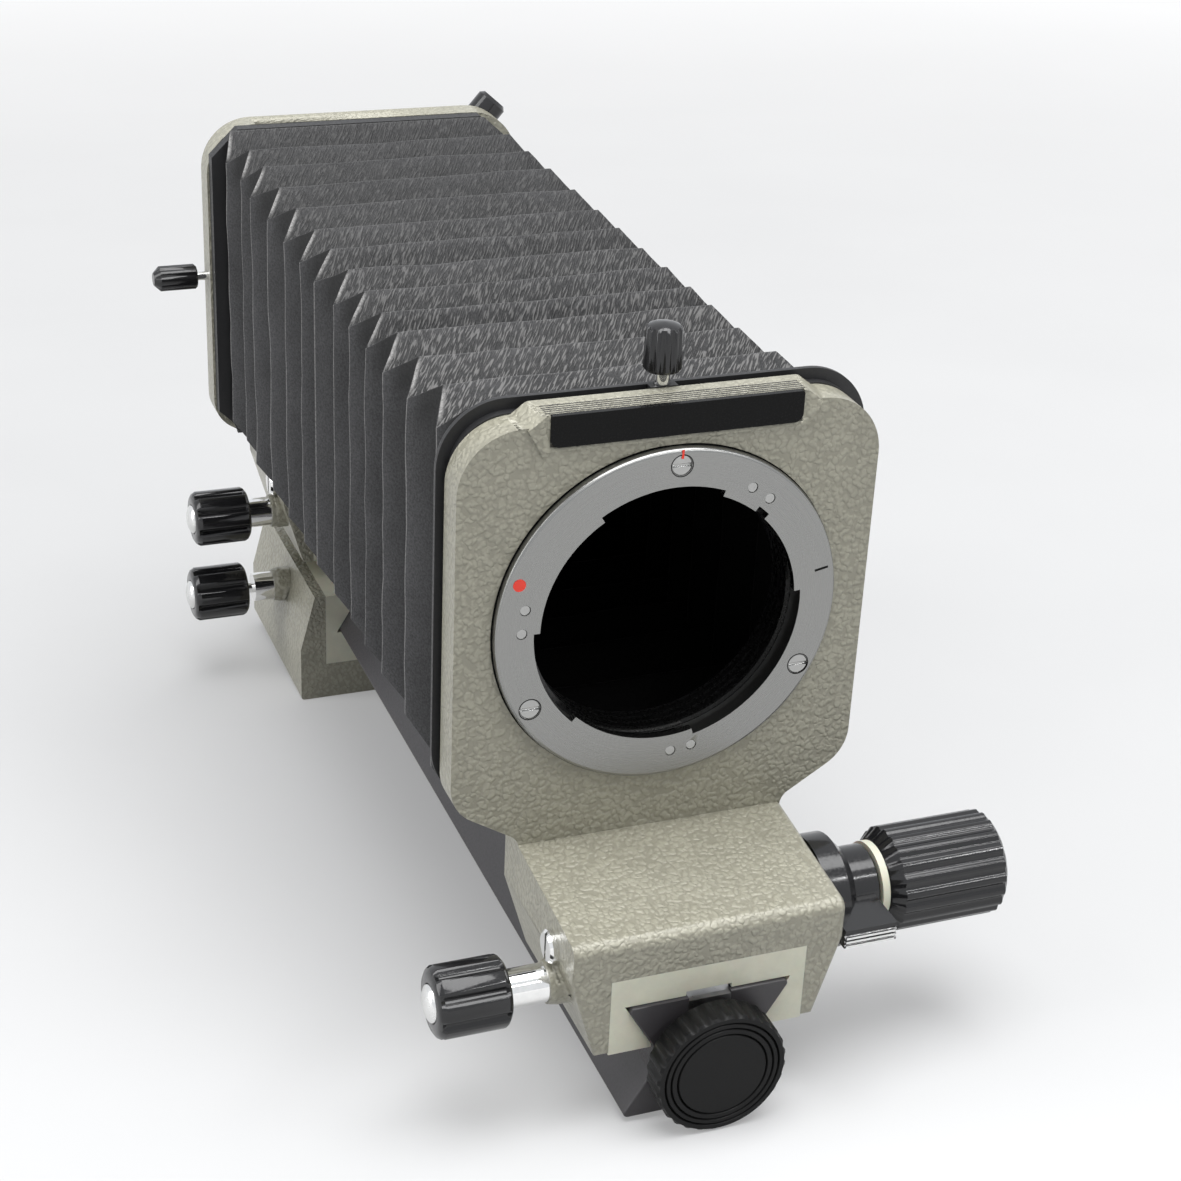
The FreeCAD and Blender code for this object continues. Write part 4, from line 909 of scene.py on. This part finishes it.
def lay_unevenly(obj, first_y, last_y, seed):
    """Shift the leather a little here and there, but not at its ends."""
    for v in obj.data.vertices:
        near = min(abs(v.co.y - first_y), abs(v.co.y - last_y))
        ease = min(near / END_EASE, 1.0)
        broad = uneven(v.co * BROAD_WAVE[0] + Vector((seed, 0, 0))) * BROAD_WAVE[1]
        fine = uneven(v.co * FINE_WAVE[0] + Vector((0, seed, 0))) * FINE_WAVE[1]
        v.co += (broad + fine) * ease


def pleated(name, stations, parity, body, node, seed):
    """One half of the bellows in folded leather, which rides on its own standard."""
    s = sizes()
    folds = [(y, *fold_at(y, i % 2 == parity)) for i, y in enumerate(stations)]
    made = sleeve(folds)
    apply_modifier(made, "BEVEL", width=s.fold_round, segments=3, limit_method="ANGLE",
                   angle_limit=math.radians(12))
    cut_finer(made)
    mark_folds(made, folds, parity)
    lay_unevenly(made, stations[0], stations[-1], seed)
    made.data.materials.append(finish("leather"))
    made.data.materials.append(finish("throat_black"))
    apply_modifier(made, "SOLIDIFY", thickness=s.leather_thickness, offset=-1.0, material_offset=1)
    smooth(made, 35)
    made.name = name
    made.data.name = name
    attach(made, body)
    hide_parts(node)
    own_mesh(made)


def mark_folds(obj, folds, parity):
    """Give the sleeve a UV map of its folds.

    U is the distance from the left corner, V the share of the way out from valley to ridge. The
    attributes say which corners lie on top, and how much the leather is creased there.
    """
    data = obj.data
    data.uv_layers.new(name="folds")
    data.attributes.new("top", "FLOAT", "CORNER")
    data.attributes.new("crease", "FLOAT", "CORNER")
    layer, top, crease = data.uv_layers["folds"], data.attributes["top"], data.attributes["crease"]
    for face in data.polygons:
        on_top = abs(face.normal.z) > abs(face.normal.x) * UPRIGHT
        upper = on_top and face.center.z > AXIS_Z
        for loop in face.loop_indices:
            place = data.vertices[data.loops[loop].vertex_index].co
            i = max(0, min(len(folds) - 2, sum(1 for fold in folds if fold[0] <= face.center.y) - 1))
            (y0, left0, _, high0), (y1, left1, _, high1) = folds[i], folds[i + 1]
            share = max(0.0, min(1.0, (place.y - y0) / (y1 - y0)))
            left = left0 + (left1 - left0) * share
            high = high0 + (high1 - high0) * share
            rising = (i % 2 == parity) == on_top
            corner = place.x + left if on_top else high - (place.z - AXIS_Z)
            corner_share = max(0.0, min(1.0, corner / FOLD_CORNER))
            layer.data[loop].uv = (corner_share, share if rising else 1.0 - share)
            top.data[loop].value = 1.0 if upper else 0.0
            near_front = max(0.0, 1.0 - (place.y - FRAME_BACK_Y - CREASED_LENGTH) / CREASE_FADE)
            crease.data[loop].value = (CREASE_REAR + CREASE_GAIN * min(1.0, near_front)) if upper else 0.0


class BELLOWS_OT_knobs(bpy.types.Operator):
    """Add the lock knobs, the drive knobs and the small knobs"""
    bl_idname = "bellows.knobs"
    bl_label = "Knobs"

    def execute(self, context):
        for where in ("front", "rear", "block"):
            lock_knob(where)
            drive_knob(where)
        small_knobs()
        return {"FINISHED"}


def lock_knob(where):
    """Black fluted knob with a pressed silver cap, on a thick turned stem."""
    low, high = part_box(where + "_lock_knob")
    centre = middle(where + "_lock_knob")
    radius = (high.z - low.z) / 2.0
    length = high.x - low.x
    made = column("X", -1, (high.x, centre.y, centre.z),
                  [(0, 0.0030, False), (0, radius - 0.0010, False), (0.0005, radius - 0.0003, False),
                   (0.0010, radius, True), (length - 0.0012, radius, True),
                   (length - 0.0004, radius - 0.0005, False), (length, radius - 0.0012, False),
                   (length, 0.0035, False), (length - 0.0006, 0.0034, False)], LOCK_FLUTES)
    smooth(made, 32)
    complete(made, where + "_lock_grip", "knob", where + "_lock", [where + "_lock_knob"])
    cap_low, cap_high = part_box(where + "_lock_cap")
    face = cap_high.x - cap_low.x
    reach = (cap_high.z - cap_low.z) / 2.0
    sweep = math.radians(60)
    dome = []
    for degrees in range(56, 0, -8):
        turn = math.radians(degrees)
        along = face - 0.0010 * (1.0 - math.cos(turn)) / (1.0 - math.cos(sweep))
        dome.append((along, reach * math.sin(turn) / math.sin(sweep), False))
    cap = column("X", -1, (cap_high.x, centre.y, centre.z),
                 [(0, reach, False), (face - 0.0011, reach, False)] + dome + [(face, 0.00005, False)])
    smooth(cap, 40)
    complete(cap, where + "_lock_button", "silver", where + "_lock", [where + "_lock_cap"])


def drive_knob(where):
    """Large black knob with concave flutes, chamfered at its inner end."""
    low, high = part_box(where + "_drive_knob")
    centre = middle(where + "_drive_knob")
    radius = (high.z - low.z) / 2.0
    length = high.x - low.x
    made = column("X", 1, (low.x, centre.y, centre.z),
                  [(0, 0.0060, False), (0, radius - 0.0021, False), (0.0002, radius - 0.0018, False),
                   (0.0022, radius, True), (length - 0.0009, radius, True),
                   (length - 0.0002, radius - 0.0010, False), (length, radius - 0.0014, False),
                   (length, radius - 0.0030, False), (length - 0.0004, radius - 0.0033, False)],
                  DRIVE_FLUTES)
    smooth(made, 30)
    complete(made, where + "_drive_grip", "knob", where + "_drive", [where + "_drive_knob"])


def small_knobs():
    """Fluted frame screw on top and the thumb screw on the rear plate's edge."""
    low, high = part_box("frame_lock_knob")
    centre = middle("frame_lock_knob")
    radius = (high.x - low.x) / 2.0
    length = high.z - low.z
    made = column("Z", 1, (centre.x, centre.y, low.z),
                  [(0, 0.0016, False), (0, radius - 0.0004, False), (0.0005, radius, True),
                   (length - 0.0011, radius - 0.0002, True),
                   (length - 0.0006, radius - 0.0006, False), (length - 0.0004, radius - 0.0011, False),
                   (length - 0.0002, 0.0016, False), (length, 0.0002, False)], FRAME_LOCK_FLUTES)
    smooth(made, 35)
    complete(made, "frame_lock_grip", "knob", "frame_lock", ["frame_lock_knob"])
    low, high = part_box("mount_lock_knob")
    centre = middle("mount_lock_knob")
    radius = (high.z - low.z) / 2.0
    length = high.x - low.x
    made = column("X", -1, (high.x, centre.y, centre.z),
                  [(0, 0.0012, False), (0, radius - 0.0004, False), (0.0004, radius, True),
                   (length - 0.0014, radius, True),
                   (length - 0.0007, radius - 0.0007, False), (length, radius - 0.0014, False)],
                  MOUNT_LOCK_FLUTES)
    smooth(made, 35)
    complete(made, "mount_lock_grip", "knob", "mount_lock", ["mount_lock_knob"])


NODE_FINISHES = {
    "nylon": ["front_guide", "rear_guide", "block_guide", "front_drive_washer", "rear_drive_washer",
              "block_drive_washer"],
    "matt_black": ["front_bellows_frame", "rotating_mount_ring", "rail_rear_stop",
                   "rotating_mount_sleeve"],
    "gloss_black": ["front_drive_bearing", "rear_drive_bearing", "block_drive_bearing"],
    "baffle_black": ["light_baffle"],
    "steel": ["top_rack", "bottom_rack", "front_drive_pinion", "rear_drive_pinion", "block_drive_pinion"],
    "bright": ["front_lock_screw", "rear_lock_screw", "block_lock_screw", "mount_lock_stem",
               "frame_lock_stem", "camera_mount_screws", "front_guide_screw", "rear_guide_screw",
               "rail_end_screw", "bayonet_springs"],
    "ring": ["camera_bayonet"],
    "knob": ["camera_release_button"],
    "brass": ["tripod_bushing", "front_lock_shoe", "rear_lock_shoe", "block_lock_shoe"],
    "enamel": ["mount_index_dot"],
}


class BELLOWS_OT_fittings(bpy.types.Operator):
    """Finish the fittings that keep their own solids, and add the release levers"""
    bl_idname = "bellows.fittings"
    bl_label = "Fittings"

    def execute(self, context):
        for material, names in NODE_FINISHES.items():
            for name in names:
                data = frame["nodes"][name].data
                data.materials.clear()
                data.materials.append(finish(material))
        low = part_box("front_release_lever")[0]
        for height in LEVER_RIDGES:
            place = (low.x + LEVER_RIDGE_MIDDLE, low.y, low.z + height)
            bar("lever_ridge", "silver", "front_lever", place, (0.0094, 0.0003, 0.00042))
        for where in ("front", "rear"):
            dressed(where + "_release_lever", "gloss_black", where + "_lever", 0.0003,
                    lambda e: e.calc_length() > 0.004, 2, 30.0)
        return {"FINISHED"}


# ---------------------------------------------------------------- stage
class BELLOWS_OT_stage(bpy.types.Operator):
    """Add the floor, the lamps and the camera"""
    bl_idname = "bellows.stage"
    bl_label = "Stage"

    def execute(self, context):
        add_floor()
        add_lights()
        add_camera()
        context.scene.view_settings.view_transform = "Standard"
        return {"FINISHED"}


def background_rays(tree):
    """One for the rays that show a background: the camera's, and those by way of metal and glass."""
    rays = add_node(tree, "LightPath")
    seen = maths(tree, "MAXIMUM", rays.outputs["Is Camera Ray"], rays.outputs["Is Glossy Ray"])
    return maths(tree, "MAXIMUM", seen, rays.outputs["Is Transmission Ray"])


def add_floor():
    """Pale floor under the block's front edge and the knob at the rail's end, where the unit rests."""
    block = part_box("tripod_block")
    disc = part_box("rail_end_knob")
    near, far = Vector((0, disc[0].y, disc[0].z)), Vector((0, block[0].y, 0.0))
    tilt = math.atan2(far.z - near.z, far.y - near.y)
    deselect()
    bpy.ops.mesh.primitive_grid_add(x_subdivisions=8, y_subdivisions=8, size=7.0,
                                    location=(0, far.y, -0.0001), rotation=(tilt, 0, 0))
    floor = bpy.context.active_object
    bpy.ops.object.transform_apply(location=True, rotation=True, scale=True)
    floor.name = "floor"
    made, tree, shader = new_material("pale_floor", grey(0.44), 0.8)
    weave = cloud_on(tree, 9.0, 3.0)
    tone = ramp(tree, weave.outputs["Fac"], [(0.3, (0.43, 0.433, 0.438)), (0.7, (0.45, 0.453, 0.458))])
    tree.links.new(tone, shader.inputs["Base Color"])
    seen = background_rays(tree)
    shader.inputs["Emission Color"].default_value = (1.0, 1.0, 1.0, 1.0)
    away = add_node(tree, "VectorMath", operation="LENGTH")
    tree.links.new(mapped(tree), away.inputs[0])
    reach = maths(tree, "MULTIPLY", away.outputs["Value"], 0.5)
    glow = ramp(tree, reach, [(0.05, grey(0.22)), (0.60, grey(0.74))])
    tree.links.new(maths(tree, "MULTIPLY", seen, glow), shader.inputs["Emission Strength"])
    floor.data.materials.append(made)


def add_lights():
    """Soft light from above and the left, in a pale surround that is bright only as a background."""
    world = bpy.data.worlds.new("studio")
    bpy.context.scene.world = world
    world.use_nodes = True
    tree = world.node_tree
    back = tree.nodes["Background"]
    back.inputs["Color"].default_value = (0.95, 0.97, 1.0, 1.0)
    shown = maths(tree, "MULTIPLY", background_rays(tree), 0.74)
    tree.links.new(maths(tree, "ADD", shown, 0.21), back.inputs["Strength"])
    lamp("top_softbox", (0.05, -0.22, 1.0), (0.0, -0.12, 0.05), 0.9, 0.8, 13.0)
    lamp("left_softbox", (-1.0, 0.05, 0.55), (0.0, -0.10, 0.08), 0.5, 1.0, 6.0)
    lamp("front_fill", (-0.30, -0.95, 1.05), (0.0, -0.15, 0.06), 0.45, 0.45, 0.3)
    lamp("knob_strip", (0.49, -0.73, 0.77), (0.03, -0.18, 0.05), 0.8, 0.024, 2.0)


def lamp(name, place, aim, width, depth, power):
    """Soft rectangular lamp at a place, aimed at a point."""
    turn = (Vector(aim) - Vector(place)).to_track_quat("-Z", "Y").to_euler()
    deselect()
    bpy.ops.object.light_add(type="AREA", location=place, rotation=turn)
    made = bpy.context.active_object
    made.name = name
    made.data.shape = "RECTANGLE"
    made.data.size = width
    made.data.size_y = depth
    made.data.energy = power


def add_camera():
    """Camera in front of the unit, to its left and above, looking down along the rail."""
    right = Vector((0.93085, -0.36196, 0.05009))
    up = Vector((0.12733, 0.44978, 0.88402))
    ahead = Vector((0.34250, 0.81651, -0.46477))
    deselect()
    bpy.ops.object.camera_add(location=(-0.142275, -0.501519, 0.279869))
    made = bpy.context.active_object
    turn = Matrix((right, up, -ahead)).transposed()
    made.rotation_euler = turn.to_euler()
    made.data.sensor_width = 36.0
    made.data.lens = 71.617
    made.data.shift_x = -0.02782
    made.data.shift_y = 0.03019
    made.data.clip_start = 0.01
    made.data.clip_end = 20.0
    bpy.context.scene.camera = made


# ---------------------------------------------------------------- panel and registration
STEPS = (BELLOWS_OT_castings, BELLOWS_OT_rail, BELLOWS_OT_lens_side, BELLOWS_OT_bellows, BELLOWS_OT_knobs,
         BELLOWS_OT_fittings, BELLOWS_OT_stage)


class BELLOWS_PT_panel(bpy.types.Panel):
    """Buttons for each group of pieces, with their sizes and colours"""
    bl_idname = "BELLOWS_PT_panel"
    bl_label = "Macro bellows unit"
    bl_space_type = "VIEW_3D"
    bl_region_type = "UI"
    bl_category = "Bellows"

    def draw(self, context):
        layout = self.layout
        for step in STEPS:
            layout.operator(step.bl_idname)
        for group in (context.scene.bellows_sizes, context.scene.bellows_finishes):
            for key in group.bl_rna.properties.keys():
                if key not in ("rna_type", "name"):
                    layout.prop(group, key)


CLASSES = (BELLOWS_PG_finishes, BELLOWS_PG_sizes, *STEPS, BELLOWS_PT_panel)


def register():
    for cls in CLASSES:
        bpy.utils.register_class(cls)
    bpy.types.Scene.bellows_finishes = bpy.props.PointerProperty(type=BELLOWS_PG_finishes)
    bpy.types.Scene.bellows_sizes = bpy.props.PointerProperty(type=BELLOWS_PG_sizes)


def unregister():
    del bpy.types.Scene.bellows_finishes
    del bpy.types.Scene.bellows_sizes
    for cls in reversed(CLASSES):
        bpy.utils.unregister_class(cls)


def main():
    """Build every group of pieces and the stage."""
    register()
    bpy.ops.bellows.castings()
    bpy.ops.bellows.rail()
    bpy.ops.bellows.lens_side()
    bpy.ops.bellows.bellows()
    bpy.ops.bellows.knobs()
    bpy.ops.bellows.fittings()
    bpy.ops.bellows.stage()


if __name__ == "__main__":
    main()
